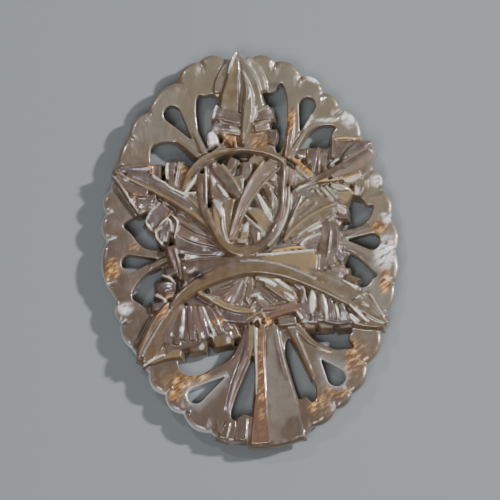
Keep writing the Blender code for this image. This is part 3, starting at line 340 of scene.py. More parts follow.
STEMS = (
    (0.0, "olive", (-11.4, -9.4, 0.35, 4.0), (-9.8, -7.5, 0.65, 4.25), (-6.8, -5.4, 0.85, 4.6),
     (-2.6, -3.8, 0.9, 4.85), (0.8, -3.3, 0.9, 4.9), (4.6, -3.8, 0.9, 4.8), (7.4, -4.9, 0.7, 4.6),
     (10.3, -6.4, 0.45, 4.35), (13.2, -8.0, 0.3, 4.0), (15.5, -9.3, 0.12, 3.7)),
    (0.05, "umber", (3.6, -2.4, 0.5, 4.85), (0.1, -2.35, 0.8, 4.9), (-3.6, -2.9, 1.1, 4.65),
     (-7.0, -3.6, 1.5, 4.2), (-9.8, -4.0, 1.6, 3.7)),
    (-0.05, "cream", (1.2, -2.3, 0.4, 4.92), (3.8, -2.3, 0.8, 4.85), (6.5, -2.4, 1.3, 4.6),
     (8.9, -2.6, 1.65, 4.25), (9.9, -2.7, 1.3, 4.1)),
    (0.1, "olive", (-9.7, 8.6, 0.25, 4.0), (-8.9, 10.5, 0.35, 4.15), (-7.6, 12.2, 0.38, 4.4),
     (-5.8, 13.45, 0.33, 4.6), (-3.4, 14.2, 0.25, 4.7), (-0.7, 14.4, 0.22, 4.8), (1.8, 14.1, 0.24, 4.7),
     (3.7, 13.5, 0.28, 4.6), (5.1, 12.7, 0.28, 4.5)),
    (0.0, "cream", (-9.2, 10.6, 0.08, 4.3), (-7.7, 12.5, 0.1, 4.5), (-5.6, 13.8, 0.1, 4.7),
     (-3.0, 14.5, 0.08, 4.8)),
    (0.0, "dusk", (-8.3, 10.3, 0.12, 4.2), (-6.9, 11.9, 0.16, 4.45), (-5.2, 12.8, 0.1, 4.5)),
    (0.1, "umber", (4.95, 12.5, 0.25, 4.4), (4.95, 10.7, 0.28, 4.5), (4.8, 8.5, 0.28, 4.6),
     (4.6, 5.5, 0.3, 4.7), (4.0, 3.2, 0.32, 4.8), (3.3, 1.7, 0.35, 4.85), (2.1, 0.4, 0.42, 4.9),
     (0.4, -0.5, 0.55, 4.9)),
    (0.1, "olive", (2.4, 0.6, 0.3, 4.85), (0.4, -0.6, 0.55, 4.92), (-1.6, -0.9, 0.65, 4.92),
     (-3.5, 0.0, 0.55, 4.85), (-4.7, 1.6, 0.45, 4.7), (-5.7, 3.7, 0.35, 4.6), (-6.2, 5.6, 0.25, 4.5)),
    (0.1, "umber", (-5.4, 2.3, 0.3, 4.4), (-6.3, 4.2, 0.45, 4.4), (-6.9, 6.3, 0.5, 4.35),
     (-7.2, 8.6, 0.5, 4.3), (-7.1, 10.9, 0.45, 4.3)),
    (0.0, "pale", (-6.3, 6.1, 0.1, 4.65), (-6.35, 8.6, 0.1, 4.65), (-6.4, 11.7, 0.12, 4.5)),
    (0.0, "white", (1.0, -1.45, 0.08, 5.0), (5.0, -1.15, 0.12, 4.9), (9.4, -0.65, 0.14, 4.35)),
    (0.0, "gold", (3.2, -0.85, 0.12, 4.6), (6.0, -0.3, 0.14, 4.4), (8.0, -0.1, 0.12, 4.1)),
    (0.0, "pale", (-1.4, -2.4, 0.07, 4.98), (1.8, -2.4, 0.07, 5.02), (5.5, -3.3, 0.08, 4.9),
     (9.4, -4.9, 0.08, 4.6)),
    (0.0, "rose", (7.6, -4.3, 0.08, 4.7), (10.4, -5.9, 0.1, 4.4), (13.3, -7.6, 0.1, 4.05)),
    (0.0, "pale", (2.7, -0.1, 0.12, 4.55), (3.95, 1.4, 0.14, 4.5), (5.1, 3.7, 0.15, 4.4),
     (5.7, 6.3, 0.14, 4.3), (5.75, 9.0, 0.1, 4.1)),
    (-0.2, "rose", (6.0, 9.3, 0.15, 3.9), (6.1, 10.8, 0.5, 3.7), (5.5, 12.1, 0.15, 3.7)),
)
CENTRE_LEAF = (
    (0.0, "umber", (-1.0, 1.0, 2.4, 3.8), (-0.8, 4.0, 3.8, 3.8), (-0.8, 8.0, 4.9, 3.7),
     (-0.8, 12.0, 5.2, 3.5)),
    (0.05, "rose", (-2.75, 0.9, 0.35, 4.55), (-2.0, 3.2, 0.5, 4.55), (-1.0, 6.0, 0.6, 4.5),
     (0.2, 8.4, 0.7, 4.4), (1.4, 10.3, 0.8, 4.2), (2.9, 12.0, 0.85, 4.05), (3.8, 12.9, 0.6, 3.95)),
    (0.0, "cream", (-2.9, 1.4, 0.08, 4.7), (-2.3, 3.6, 0.1, 4.72), (-1.5, 6.2, 0.1, 4.65),
     (-0.5, 8.7, 0.1, 4.55), (0.7, 10.9, 0.1, 4.35), (2.0, 12.8, 0.1, 4.15)),
    (0.0, "cream", (-1.5, 3.2, 0.08, 4.7), (-0.4, 5.8, 0.1, 4.65), (1.0, 8.0, 0.1, 4.55),
     (2.5, 9.9, 0.1, 4.35), (4.6, 12.0, 0.1, 4.15)),
    (0.05, "olive", (-2.9, 0.9, 0.3, 4.4), (-3.3, 2.8, 0.6, 4.35), (-3.3, 5.0, 0.75, 4.3),
     (-2.7, 7.3, 0.6, 4.25)),
    (-0.15, "brown", (-1.4, 7.4, 0.4, 4.3), (-2.5, 8.9, 0.65, 4.25), (-3.5, 10.2, 0.75, 4.15),
     (-4.6, 11.5, 0.7, 4.0), (-5.4, 12.4, 0.5, 3.8)),
    (0.0, "cream", (-1.5, 8.4, 0.08, 4.4), (-2.7, 10.6, 0.12, 4.25), (-4.1, 12.4, 0.16, 4.05)),
    (0.0, "pale", (-5.5, 12.6, 0.12, 4.1), (-5.1, 12.0, 0.1, 4.1)),
    (0.1, "plain", (-5.8, 11.0, 0.2, 3.8), (-5.2, 9.6, 0.55, 3.9), (-4.5, 8.5, 0.6, 3.9),
     (-3.6, 7.6, 0.3, 4.0)),
    (0.0, "white", (-5.6, 10.7, 0.1, 4.0), (-5.3, 9.8, 0.22, 4.05), (-5.2, 9.2, 0.1, 4.0)),
    (0.0, "white", (-4.7, 9.3, 0.1, 4.1), (-3.7, 8.1, 0.2, 4.2), (-2.9, 7.0, 0.1, 4.25)),
    (-0.1, "brown", (-2.9, 6.6, 0.15, 4.2), (-4.2, 7.5, 0.38, 4.15), (-5.6, 8.2, 0.35, 4.0)),
    (0.0, "rose", (-3.1, 6.3, 0.08, 4.25), (-4.4, 6.9, 0.12, 4.15), (-5.6, 7.5, 0.12, 4.05)),
    (0.1, "cream", (-3.1, 0.6, 0.2, 4.5), (-3.9, 2.1, 0.45, 4.5), (-4.4, 3.8, 0.65, 4.45),
     (-4.6, 5.3, 0.75, 4.4), (-4.8, 6.7, 0.5, 4.3)),
    (0.0, "white", (-5.4, 6.9, 0.12, 4.55), (-4.7, 6.3, 0.4, 4.55), (-4.2, 5.2, 0.3, 4.55),
     (-4.1, 4.2, 0.1, 4.55)),
    (0.0, "white", (-2.8, 0.3, 0.08, 4.8), (-3.35, 0.9, 0.08, 4.8), (-3.9, 2.7, 0.09, 4.7),
     (-4.0, 4.4, 0.08, 4.6)),
    (0.0, "olive", (-1.3, 7.9, 0.15, 4.15), (-1.6, 9.2, 0.5, 4.05), (-2.0, 10.6, 0.8, 3.9)),
    (0.0, "white", (-1.1, 7.9, 0.09, 4.35), (-0.95, 10.3, 0.12, 4.05)),
    (0.0, "umber", (-3.2, 11.2, 0.3, 4.0), (-2.6, 12.6, 0.6, 3.8), (-2.3, 13.4, 0.5, 3.7)),
    (-0.1, "brown", (-0.9, 10.2, 0.4, 4.0), (-0.4, 11.6, 0.7, 3.9), (-0.5, 12.8, 0.6, 3.8)),
    (0.15, "bronze", (0.0, 12.8, 0.3, 3.9), (1.0, 13.2, 0.6, 3.85), (2.2, 13.4, 0.3, 3.8)),
    (0.0, "rose", (1.0, 12.4, 0.1, 4.0), (2.2, 12.9, 0.14, 3.95)),
    (0.1, "cream", (-0.2, 5.6, 0.3, 4.2), (1.1, 4.9, 0.75, 4.15), (2.2, 3.7, 0.8, 4.05),
     (3.2, 2.4, 0.5, 3.95)),
    (0.0, "pale", (-0.7, 4.7, 0.08, 4.3), (0.95, 3.2, 0.1, 4.25), (2.7, 1.6, 0.12, 4.15)),
    (0.0, "umber", (-0.4, 4.2, 0.15, 4.2), (0.9, 2.7, 0.3, 4.15), (2.2, 1.4, 0.25, 4.05)),
    (0.0, "white", (-0.8, 5.1, 0.1, 4.35), (0.1, 5.7, 0.12, 4.35)),
    (0.1, "brown", (0.9, 7.6, 0.3, 4.2), (1.7, 5.9, 0.45, 4.1), (2.6, 4.5, 0.3, 4.0)),
    (0.15, "white", (1.3, 7.8, 0.14, 4.3), (2.1, 6.1, 0.32, 4.2), (2.9, 4.6, 0.36, 4.1),
     (3.3, 3.6, 0.2, 4.0)),
    (0.1, "pale", (2.9, 8.2, 0.3, 4.1), (3.7, 6.7, 0.55, 4.05), (3.9, 5.2, 0.4, 3.95),
     (3.7, 4.2, 0.15, 3.9)),
    (0.0, "white", (3.8, 7.4, 0.1, 4.2), (4.1, 6.1, 0.25, 4.15), (3.9, 4.9, 0.12, 4.1)),
    (0.1, "umber", (1.8, 9.6, 0.3, 4.2), (2.6, 8.6, 0.45, 4.15), (3.0, 7.2, 0.25, 4.1),
     (3.2, 5.8, 0.1, 4.1)),
    (0.0, "gold", (2.6, 9.4, 0.12, 4.25), (3.6, 8.7, 0.16, 4.15)),
    (0.1, "pale", (1.9, 10.5, 0.2, 4.1), (3.0, 10.6, 0.5, 4.0), (4.1, 10.2, 0.45, 3.9)),
    (0.15, "white", (-0.2, 3.7, 0.14, 4.15), (-0.6, 2.9, 0.35, 4.1), (-0.7, 2.2, 0.3, 4.05)),
    (0.0, "cream", (-1.3, 2.0, 0.5, 4.0), (-0.2, 1.9, 0.5, 4.0)),
    (0.0, "pale", (-1.8, 0.9, 0.25, 4.1), (-0.5, 0.8, 0.3, 4.1)),
    (0.0, "brown", (0.4, 3.0, 0.4, 4.1), (0.9, 1.7, 0.6, 4.1), (1.2, 0.5, 0.4, 4.1)),
    (0.0, "gold", (1.2, 2.2, 0.08, 4.25), (1.2, 0.7, 0.1, 4.25)),
    (0.0, "white", (1.7, 2.0, 0.12, 4.2), (2.4, 1.4, 0.25, 4.15), (2.6, 1.0, 0.1, 4.15)),
)
SIDE_LEAVES = (
    (0.0, "cream", (5.0, 0.8, 0.16, 4.4), (6.6, 2.8, 0.18, 4.2), (8.4, 4.3, 0.18, 4.0),
     (10.2, 5.4, 0.16, 3.8), (11.6, 6.1, 0.16, 3.6), (12.7, 6.5, 0.12, 3.3)),
    (0.15, "olive", (5.3, 1.2, 0.3, 4.2), (6.6, 3.5, 0.75, 3.9), (7.9, 5.2, 1.1, 3.7), (9.3, 6.5, 1.2, 3.4),
     (11.0, 6.9, 0.55, 3.2), (12.3, 6.8, 0.2, 3.0)),
    (0.0, "pale", (5.7, 3.0, 0.08, 4.1), (6.9, 5.8, 0.08, 3.9), (7.7, 7.7, 0.12, 3.7)),
    (0.0, "cream", (7.2, 5.6, 0.07, 4.0), (8.4, 7.0, 0.08, 3.75)),
    (0.0, "umber", (7.4, 4.6, 0.07, 3.95), (9.6, 6.6, 0.08, 3.6)),
    (-0.15, "olive", (6.0, 1.5, 0.3, 4.0), (8.3, 3.4, 0.6, 3.7), (10.4, 4.8, 0.6, 3.4),
     (12.2, 5.9, 0.35, 3.1)),
    (-0.2, "white", (11.2, 5.1, 0.25, 3.2), (12.4, 5.8, 0.35, 3.0)),
    (-0.1, "pale", (12.6, 6.4, 0.35, 2.9), (14.0, 5.4, 0.5, 2.4)),
    (-0.3, "dusk", (12.9, 5.0, 0.6, 2.7), (14.4, 5.2, 0.85, 2.3)),
    (-0.3, "brown", (11.6, 4.5, 0.5, 2.9), (13.4, 3.6, 0.7, 2.3)),
    (-0.1, "rose", (6.2, 0.9, 0.4, 3.6), (8.6, 1.9, 0.9, 3.45), (10.5, 2.4, 1.2, 3.15)),
    (0.0, "white", (7.1, 1.7, 0.08, 3.85), (8.3, 2.8, 0.16, 3.75), (10.3, 4.0, 0.2, 3.45)),
    (0.0, "white", (8.4, 2.2, 0.08, 3.7), (9.8, 2.9, 0.14, 3.6), (10.5, 3.3, 0.1, 3.4)),
    (0.0, "bronze", (7.4, 1.3, 0.1, 3.75), (9.2, 2.3, 0.16, 3.6)),
    (0.0, "white", (7.3, 0.3, 0.1, 3.75), (8.4, 1.2, 0.16, 3.7), (10.4, 2.1, 0.14, 3.4)),
    (0.0, "bronze", (8.6, 0.6, 0.14, 3.5), (10.4, 1.0, 0.2, 3.3)),
    (0.0, "rose", (7.6, 0.1, 0.1, 3.6), (9.2, 0.7, 0.1, 3.5), (10.4, 1.4, 0.08, 3.35)),
    (0.1, "umber", (10.4, -3.4, 0.5, 3.3), (10.8, -0.5, 0.75, 3.35), (11.2, 2.2, 0.8, 3.3),
     (10.9, 5.0, 0.4, 3.15)),
    (-0.1, "umber", (11.3, -3.0, 0.5, 3.25), (12.0, -0.2, 0.75, 3.3), (12.1, 2.2, 0.8, 3.25),
     (11.7, 4.4, 0.5, 3.05)),
    (-0.15, "brown", (12.2, 1.8, 0.4, 3.15), (13.3, 1.2, 0.5, 2.8)),
    (-0.15, "umber", (12.3, 0.4, 0.4, 3.15), (13.6, -0.2, 0.55, 2.75)),
    (0.0, "rose", (11.3, -1.6, 0.08, 3.5), (11.6, 0.4, 0.08, 3.55), (11.8, 2.6, 0.08, 3.45)),
    (0.0, "pale", (11.6, 4.0, 0.14, 3.35), (12.6, 4.9, 0.22, 3.1)),
    (-0.1, "bronze", (11.9, -0.9, 0.3, 3.45), (12.3, -2.5, 0.4, 3.2)),
    (-0.15, "dusk", (12.8, -0.9, 0.45, 3.0), (13.9, -1.6, 0.7, 2.6)),
    (0.1, "bronze", (11.8, -3.5, 0.3, 3.3), (13.9, -2.9, 0.45, 2.9)),
    (-0.1, "umber", (12.2, -4.3, 0.5, 3.2), (14.6, -4.2, 0.7, 2.7)),
    (0.0, "pale", (11.0, -4.2, 0.12, 3.45), (13.2, -4.4, 0.2, 3.2)),
)
LOWER_CENTRE = (
    (0.0, "brown", (-4.5, -6.6, 1.4, 3.5), (-0.5, -6.8, 2.6, 3.5), (3.5, -7.2, 2.4, 3.4),
     (7.2, -7.4, 1.8, 3.2)),
    (0.1, "cream", (0.8, -4.7, 0.3, 4.1), (2.4, -4.9, 0.7, 4.1), (4.2, -6.0, 1.0, 4.0),
     (5.8, -7.2, 0.9, 3.8), (6.5, -8.1, 0.5, 3.6)),
    (0.0, "white", (0.9, -4.3, 0.12, 4.25), (2.6, -4.3, 0.16, 4.25), (4.4, -5.2, 0.12, 4.15),
     (6.3, -6.6, 0.1, 3.9)),
    (0.0, "white", (1.4, -4.9, 0.14, 4.25), (2.8, -5.2, 0.22, 4.2), (3.9, -5.9, 0.12, 4.1)),
    (0.0, "white", (5.0, -6.9, 0.12, 4.05), (5.9, -7.4, 0.2, 3.95), (6.4, -8.0, 0.1, 3.8)),
    (0.0, "rose", (2.2, -5.8, 0.08, 4.15), (3.6, -6.7, 0.12, 4.0), (5.2, -7.9, 0.1, 3.8)),
    (0.15, "plain", (-1.2, -4.7, 0.12, 4.05), (-3.4, -5.4, 0.35, 4.0), (-5.8, -6.6, 0.2, 3.9)),
    (0.1, "brown", (-2.6, -6.2, 0.12, 3.9), (-4.4, -6.9, 0.35, 3.85), (-6.0, -7.2, 0.15, 3.85)),
    (0.2, "rose", (-1.3, -4.9, 0.3, 4.0), (-2.4, -6.6, 0.55, 3.8), (-3.4, -8.4, 0.6, 3.7)),
    (-0.15, "brown", (-0.7, -4.7, 0.3, 4.0), (-1.2, -6.6, 0.5, 3.8), (-1.8, -8.6, 0.5, 3.7)),
    (0.0, "pale", (-1.0, -5.0, 0.08, 4.1), (-1.9, -7.2, 0.08, 3.95), (-2.6, -8.6, 0.08, 3.8)),
    (0.1, "plain", (0.2, -4.7, 0.3, 4.0), (0.0, -6.4, 0.4, 3.8), (-0.5, -8.4, 0.35, 3.7)),
    (0.0, "white", (-0.2, -4.6, 0.08, 4.15), (-0.7, -5.5, 0.1, 4.05)),
    (0.1, "brown", (0.8, -5.6, 0.3, 3.95), (2.2, -7.0, 0.5, 3.8), (3.6, -8.3, 0.4, 3.6)),
    (-0.1, "plain", (0.6, -6.4, 0.3, 3.9), (1.5, -8.0, 0.45, 3.7), (2.8, -9.2, 0.35, 3.5)),
    (0.0, "white", (0.3, -7.5, 0.1, 3.9), (0.9, -7.0, 0.12, 3.9), (1.5, -7.9, 0.08, 3.8)),
    (0.0, "pale", (0.8, -8.2, 0.08, 3.8), (0.2, -9.1, 0.1, 3.8)),
    (0.0, "white", (-0.4, -7.9, 0.1, 3.85), (0.0, -8.6, 0.1, 3.85)),
    (0.1, "cream", (-7.4, -7.0, 0.15, 4.15), (-6.1, -7.6, 0.3, 4.15), (-4.6, -8.3, 0.42, 4.05),
     (-3.0, -9.1, 0.4, 3.9), (-1.2, -9.5, 0.4, 3.8), (0.7, -9.6, 0.25, 3.7)),
    (0.0, "white", (-6.5, -7.5, 0.08, 4.25), (-5.2, -7.9, 0.1, 4.2)),
    (0.1, "dusk", (-3.9, -10.3, 0.5, 3.5), (-2.0, -10.6, 0.7, 3.4), (0.0, -10.8, 0.5, 3.3)),
    (0.0, "cream", (-0.6, -11.0, 0.12, 3.5), (0.5, -10.3, 0.16, 3.65), (1.6, -9.8, 0.16, 3.7),
     (2.2, -10.6, 0.12, 3.5)),
    (0.0, "pale", (0.5, -11.3, 0.08, 3.4), (1.3, -10.6, 0.1, 3.5), (1.6, -11.6, 0.08, 3.3)),
    (0.0, "bronze", (2.4, -10.3, 0.35, 3.4), (3.0, -11.5, 0.45, 3.1)),
    (0.15, "bronze", (3.0, -10.3, 0.35, 3.5), (5.2, -9.6, 0.35, 3.5), (7.4, -8.8, 0.4, 3.5)),
    (0.0, "rose", (1.6, -9.3, 0.2, 3.7), (4.4, -9.0, 0.25, 3.65), (6.9, -8.3, 0.2, 3.6)),
    (0.0, "white", (6.8, -9.6, 0.1, 3.6), (7.6, -10.8, 0.14, 3.3)),
    (0.1, "plain", (4.2, -11.2, 0.5, 3.0), (6.8, -10.9, 0.6, 3.1)),
    (0.1, "dusk", (6.3, -5.6, 0.15, 4.0), (7.3, -6.3, 0.3, 3.8), (7.7, -7.6, 0.2, 3.6)),
    (0.0, "pale", (7.0, -5.7, 0.08, 4.05), (8.0, -6.6, 0.1, 3.9), (7.7, -8.3, 0.08, 3.6)),
)
FAN = (
    (0.05, "bronze", (1.9, -11.4, 0.4, 3.0), (1.6, -14.5, 0.5, 2.65), (1.7, -19.5, 0.6, 2.35),
     (1.55, -24.5, 0.95, 2.2), (1.6, -29.2, 1.4, 2.05)),
    (0.0, "white", (0.9, -11.9, 0.16, 3.0), (0.9, -15.0, 0.14, 2.65), (1.0, -19.0, 0.1, 2.4),
     (0.95, -22.0, 0.07, 2.25)),
    (-0.04, "silver", (3.3, -11.4, 0.7, 2.6), (3.7, -16.0, 1.2, 2.3), (4.3, -20.5, 1.8, 2.15),
     (5.0, -24.8, 2.4, 2.05), (5.5, -28.5, 2.5, 2.0)),
    (0.0, "dusk", (3.5, -13.0, 0.07, 2.5), (4.3, -16.5, 0.07, 2.3), (5.2, -19.6, 0.07, 2.19)),
    (0.0, "plain", (-1.0, -25.4, 0.7, 2.1), (-1.3, -28.7, 0.85, 2.02)),
    (0.0, "plain", (-3.1, -26.0, 0.35, 2.1), (-3.9, -28.4, 0.6, 2.02)),
    (0.0, "brown", (-0.3, -11.8, 0.4, 2.7), (-1.2, -14.5, 0.35, 2.3), (-2.8, -16.9, 0.35, 2.05),
     (-6.0, -18.7, 0.3, 1.95)),
    (0.0, "brown", (0.0, -12.0, 0.4, 2.7), (-0.8, -16.0, 0.25, 2.25), (-2.4, -20.5, 0.2, 2.1),
     (-3.4, -24.6, 0.15, 2.0)),
    (0.0, "cream", (0.3, -11.6, 0.45, 3.0), (0.2, -14.0, 0.35, 2.5), (0.0, -16.2, 0.2, 2.2)),
    (0.0, "plain", (5.9, -11.6, 0.5, 2.6), (7.4, -14.9, 0.35, 2.2), (9.3, -19.4, 0.25, 2.0)),
    (0.0, "plain", (6.7, -11.5, 0.5, 2.6), (9.2, -14.1, 0.35, 2.2), (12.6, -15.6, 0.25, 2.0)),
    (0.0, "plain", (-6.6, 14.3, 0.35, 2.5), (-8.2, 18.0, 0.3, 2.05)),
    (0.0, "plain", (-7.4, 13.9, 0.35, 2.5), (-10.8, 16.6, 0.25, 2.05)),
    (0.0, "bronze", (5.4, 13.6, 0.4, 2.7), (6.1, 18.0, 0.4, 2.15), (6.4, 21.5, 0.3, 2.0)),
    (0.0, "plain", (5.8, 13.4, 0.4, 2.7), (8.0, 17.4, 0.3, 2.15), (10.6, 19.5, 0.25, 2.0)),
    (0.0, "brown", (12.4, 1.9, 0.4, 2.7), (15.4, 2.7, 0.3, 2.1), (17.6, 3.4, 0.25, 2.0)),
    (0.0, "brown", (12.4, 0.4, 0.4, 2.7), (15.2, -0.3, 0.3, 2.1), (17.7, -1.9, 0.25, 2.0)),
    (0.0, "plain", (-11.4, -1.3, 0.4, 2.7), (-14.6, -2.9, 0.35, 2.1)),
)
# Broad low ground between the leaves and the stems
GROUND = (
    (0.0, "brown", (-9.5, -1.5, 3.0, 3.0), (-5.0, -1.8, 3.5, 3.3), (0.0, -2.0, 3.6, 3.5),
     (5.0, -2.0, 3.5, 3.4), (10.0, -1.8, 3.0, 3.1)),
    (0.0, "brown", (6.0, -1.0, 1.5, 3.3), (7.0, 2.5, 1.8, 3.3), (7.5, 6.0, 2.2, 3.1), (8.3, 9.0, 1.8, 3.0),
     (7.0, 11.8, 0.9, 2.9)),
    (0.0, "rose", (-9.0, -1.0, 1.6, 3.1), (-8.8, 3.0, 2.2, 3.2), (-8.2, 7.0, 1.8, 3.3),
     (-7.8, 9.8, 0.8, 3.2)),
    (0.0, "brown", (-9.0, -7.5, 1.3, 3.1), (-4.0, -7.5, 2.5, 3.2), (0.0, -8.0, 3.0, 3.2),
     (5.0, -7.5, 2.6, 3.2), (8.5, -7.3, 1.8, 3.0)),
)
# Which colour of the settings each tone leans a strip toward, and how far. White and pale paint highlights,
# dusk paints shade and gold paints golden flashes
TONES = {
    "plain": ("champagne", 0.0), "cream": ("cream", 0.8), "olive": ("olive", 0.85),
    "umber": ("umber", 0.85), "brown": ("rose_brown", 0.7), "bronze": ("bronze", 0.75),
    "dusk": ("dusk", 0.95), "rose": ("rose", 0.6), "gold": ("gold", 0.75), "pale": ("painted_highlight_ivory", 0.5),
    "white": ("painted_highlight_ivory", 0.95), "silver": ("silver", 0.55),
}
# Each group of strips, and how far its tops are hollowed as a share of the half width. Below 0 they are
# rounded instead.
CARVING = (
    (TOP_LEAF, 0.14), (RIGHT_LEAF, 0.14), (LOWER_RIGHT_LEAF, 0.14), (LOWER_LEFT_LEAF, 0.14),
    (LEFT_LEAF, 0.14), (STEMS, -0.12), (CENTRE_LEAF, 0.14), (SIDE_LEAVES, 0.12), (LOWER_CENTRE, 0.10),
    (FAN, 0.05), (GROUND, 0.0),
)

# Painted reflections where the nacre throws light back, the golden ones over the shell's own bronze:
# centre, half length and half width, and turn of the long side, then strength
GOLD_FLASHES = (
    ((18.9, 3.1), (1.2, 1.0), 0, 1.0), ((19.8, -5.0), (2.0, 0.8), 85, 1.0),
    ((-20.0, -3.4), (1.7, 1.0), 80, 1.0), ((-8.2, -19.6), (2.4, 0.8), 12, 1.0),
    ((-10.6, -21.0), (2.2, 0.9), 70, 0.9), ((-9.8, -20.3), (5.5, 2.4), 5, 0.35),
    ((15.4, -16.6), (3.8, 2.0), 72, 0.4), ((14.7, -16.6), (2.9, 0.9), 82, 0.9),
    ((10.6, -22.8), (3.2, 1.7), 65, 0.35), ((11.0, -20.7), (0.9, 0.6), 0, 1.0),
    ((12.0, -21.6), (1.4, 0.35), -45, 1.0), ((13.6, -21.7), (1.3, 0.3), 32, 0.9),
    ((9.3, -23.2), (1.7, 0.6), 70, 0.9), ((11.6, -15.4), (0.5, 0.35), 0, 0.9),
    ((6.2, 19.1), (2.2, 0.7), 85, 0.8), ((-2.9, 16.3), (1.8, 1.2), 0, 0.55),
    ((1.5, 16.2), (1.8, 1.4), 0, 0.55), ((7.8, 12.1), (1.8, 0.6), -50, 0.8),
    ((-14.4, 11.7), (1.1, 0.5), 90, 0.5), ((-9.6, 11.2), (1.4, 0.5), 90, 0.6),
    ((-16.7, 7.4), (0.9, 0.5), 40, 0.8), ((-12.9, -10.1), (1.4, 0.8), 45, 0.8),
    ((2.6, -11.0), (1.0, 0.8), 0, 0.9), ((-4.6, -11.0), (0.9, 0.6), 0, 0.8),
    ((1.7, -20.0), (8.5, 0.7), 91, 0.45), ((1.75, -22.2), (1.8, 0.4), 90, 0.8),
    ((-17.0, 0.1), (1.1, 0.8), 20, 0.7),
)
# Pearly flashes, all painted reflections, in the same columns
PAINTED_PEARL_FLASHES = (
    ((19.9, -0.6), (2.6, 1.6), 80, 1.0), ((-18.2, -9.2), (1.5, 1.0), 20, 0.7),
    ((9.3, 25.7), (1.3, 0.6), -25, 0.9), ((14.5, 19.8), (1.6, 1.2), -50, 0.9),
    ((11.5, 19.4), (1.8, 0.4), 0, 0.7), ((8.7, 19.2), (1.4, 0.35), 65, 0.7),
    ((18.6, 10.2), (1.1, 0.9), 30, 0.8), ((20.2, 4.4), (1.0, 0.7), 60, 0.8),
    ((-5.5, 16.8), (1.6, 1.0), 80, 1.0), ((-8.8, -1.45), (1.3, 0.3), 5, 1.0),
    ((-4.5, -1.05), (0.7, 0.3), 0, 1.0), ((-6.5, -0.3), (0.4, 0.3), 60, 1.0),
    ((-8.1, 1.2), (0.6, 0.3), -20, 0.9), ((-8.4, -3.6), (0.6, 0.4), 20, 1.0),
    ((-9.5, -5.9), (0.5, 0.3), 30, 0.9), ((-17.1, 6.8), (0.6, 0.35), -30, 1.0),
    ((-18.0, 10.0), (0.5, 0.25), -20, 0.8), ((-9.85, -12.4), (0.3, 0.45), 20, 1.0),
    ((-6.8, -13.2), (0.22, 0.4), 30, 1.0), ((-11.3, -13.2), (0.2, 0.3), 0, 0.8),
    ((-5.3, -13.1), (0.25, 0.35), 20, 0.8), ((10.9, -24.6), (0.25, 0.3), 0, 0.8),
    ((10.4, -25.4), (0.2, 0.4), -20, 0.8), ((-12.4, 6.6), (0.5, 0.25), -20, 0.8),
    ((-17.2, 0.0), (0.5, 0.3), -40, 0.9), ((-18.3, 0.1), (0.3, 0.25), 20, 0.9),
)
# Stains in the shell: centre, half length and half width, and turn of the long side, then strength
STAINS = (
    ((-7.5, -4.5), (1.25, 0.62), -25, 1.0), ((-16.6, 13.2), (0.8, 0.35), -40, 0.6),
    ((3.6, 24.7), (1.1, 0.7), 0, 0.5), ((19.9, 0.5), (0.18, 0.16), 0, 0.8),
)

# Points along the outlines, and how full each scallop swells: below 1 is fuller than a sine
EDGE_STEP = 0.4
SCALLOP_STEPS = 10
SCALLOP_FULLNESS = 0.8
TEARDROP_STEPS = 26
TINY_SQUARE = 1e-12

# Rows of points inside the edges, as shares of the width that is rounded, and an even lattice past them
RIM_ROWS = (0.08, 0.22, 0.42, 0.68, 1.0)
HOLE_ROWS = (0.12, 0.38, 0.9)
ROW_CLEARANCE = 0.94
RIM_CLEARANCE = 0.3
HOLE_CLEARANCE = 0.25
LATTICE_REACH = 1.1
WELD_DISTANCE = 1e-5

# Rounding of the plate's underside, and how deep a groove is where no scallop follows its notch
UNDER_ROUND = 0.3
UNDER_DROP = 0.2
PLAIN_NOTCH_SHARE = 0.4

# Light through the thin rim and round the teardrops, painted into the colour as a pale glow: its share, the
# heading where it is strongest, how many degrees it spreads and how far it reaches in
LOWER_GLOW_HEADING = -131
LOWER_GLOW_SPREAD = 32
LEFT_GLOW = 0.6
LEFT_GLOW_HEADING = 176
LEFT_GLOW_SPREAD = 20
RIM_GLOW_REACH = 0.22
TEARDROP_GLOW = 0.8
TEARDROP_GLOW_REACH = 0.2

# Sections of the strips. A corner or flank takes at most its share of the half width, and the least level
# is how near the back a top or a flank may come.
CORNER_SEGMENTS = 3
HOLLOW_SEGMENTS = 4
CORNER_SHARE = 0.45
FLANK_SHARE = 0.8
LEAST_LEVEL = 0.3
WALL_POINTS = 2

# What each rail hands on to its strip, and the sizes that the sweep works with
RAIL_VALUES = ("half_width", "height", "slope")
STRIP_SIZES = {
    "Edge round": 0.12 * MM, "Section spacing": 0.7 * MM, "Flank width": 0.32 * MM,
    "Flank steepness": 2.2, "Wall draft": 0.05, "Dish rise": DISH_RISE * MM, "Strip inset": 0.05 * MM,
}

# How much sky a place sees: rays all round at two heights, their reach, and how far out they start
SKY_TURNS = 8
SKY_HEIGHTS = (25, 55)
SKY_REACH = 12 * MM
SKY_START = 0.04 * MM

# The worked surface
HAND_WOBBLE = 0.05 * MM
WOBBLE_SCALE = 420
NOISE_MIDDLE = (0.5, 0.5, 0.5)
SOFTENING_FACTOR = 0.5
TINT_SEED = 7
SPOT_FALLOFF = 1.5

# Tones that fade toward both ends of their strip, and by what share: painted highlights and golden flashes
FADING = ("white", "pale", "gold")
BRIGHT_FADE = 0.6

# Painted sheen: facets turned up and right go cool and lighter, those turned down and left honey and darker
TO_PAINTED_COOL_SHEEN = (0.8, 0.55, 0.1)
TO_PAINTED_HONEY_SHEEN = (-0.8, -0.5, 0.2)

# The rosy brown comes on down and to the left, partly the shell's own colour and partly painted shade on
# the side away from the light: what a step aside counts against a step up
LEAN_ASIDE = 0.9

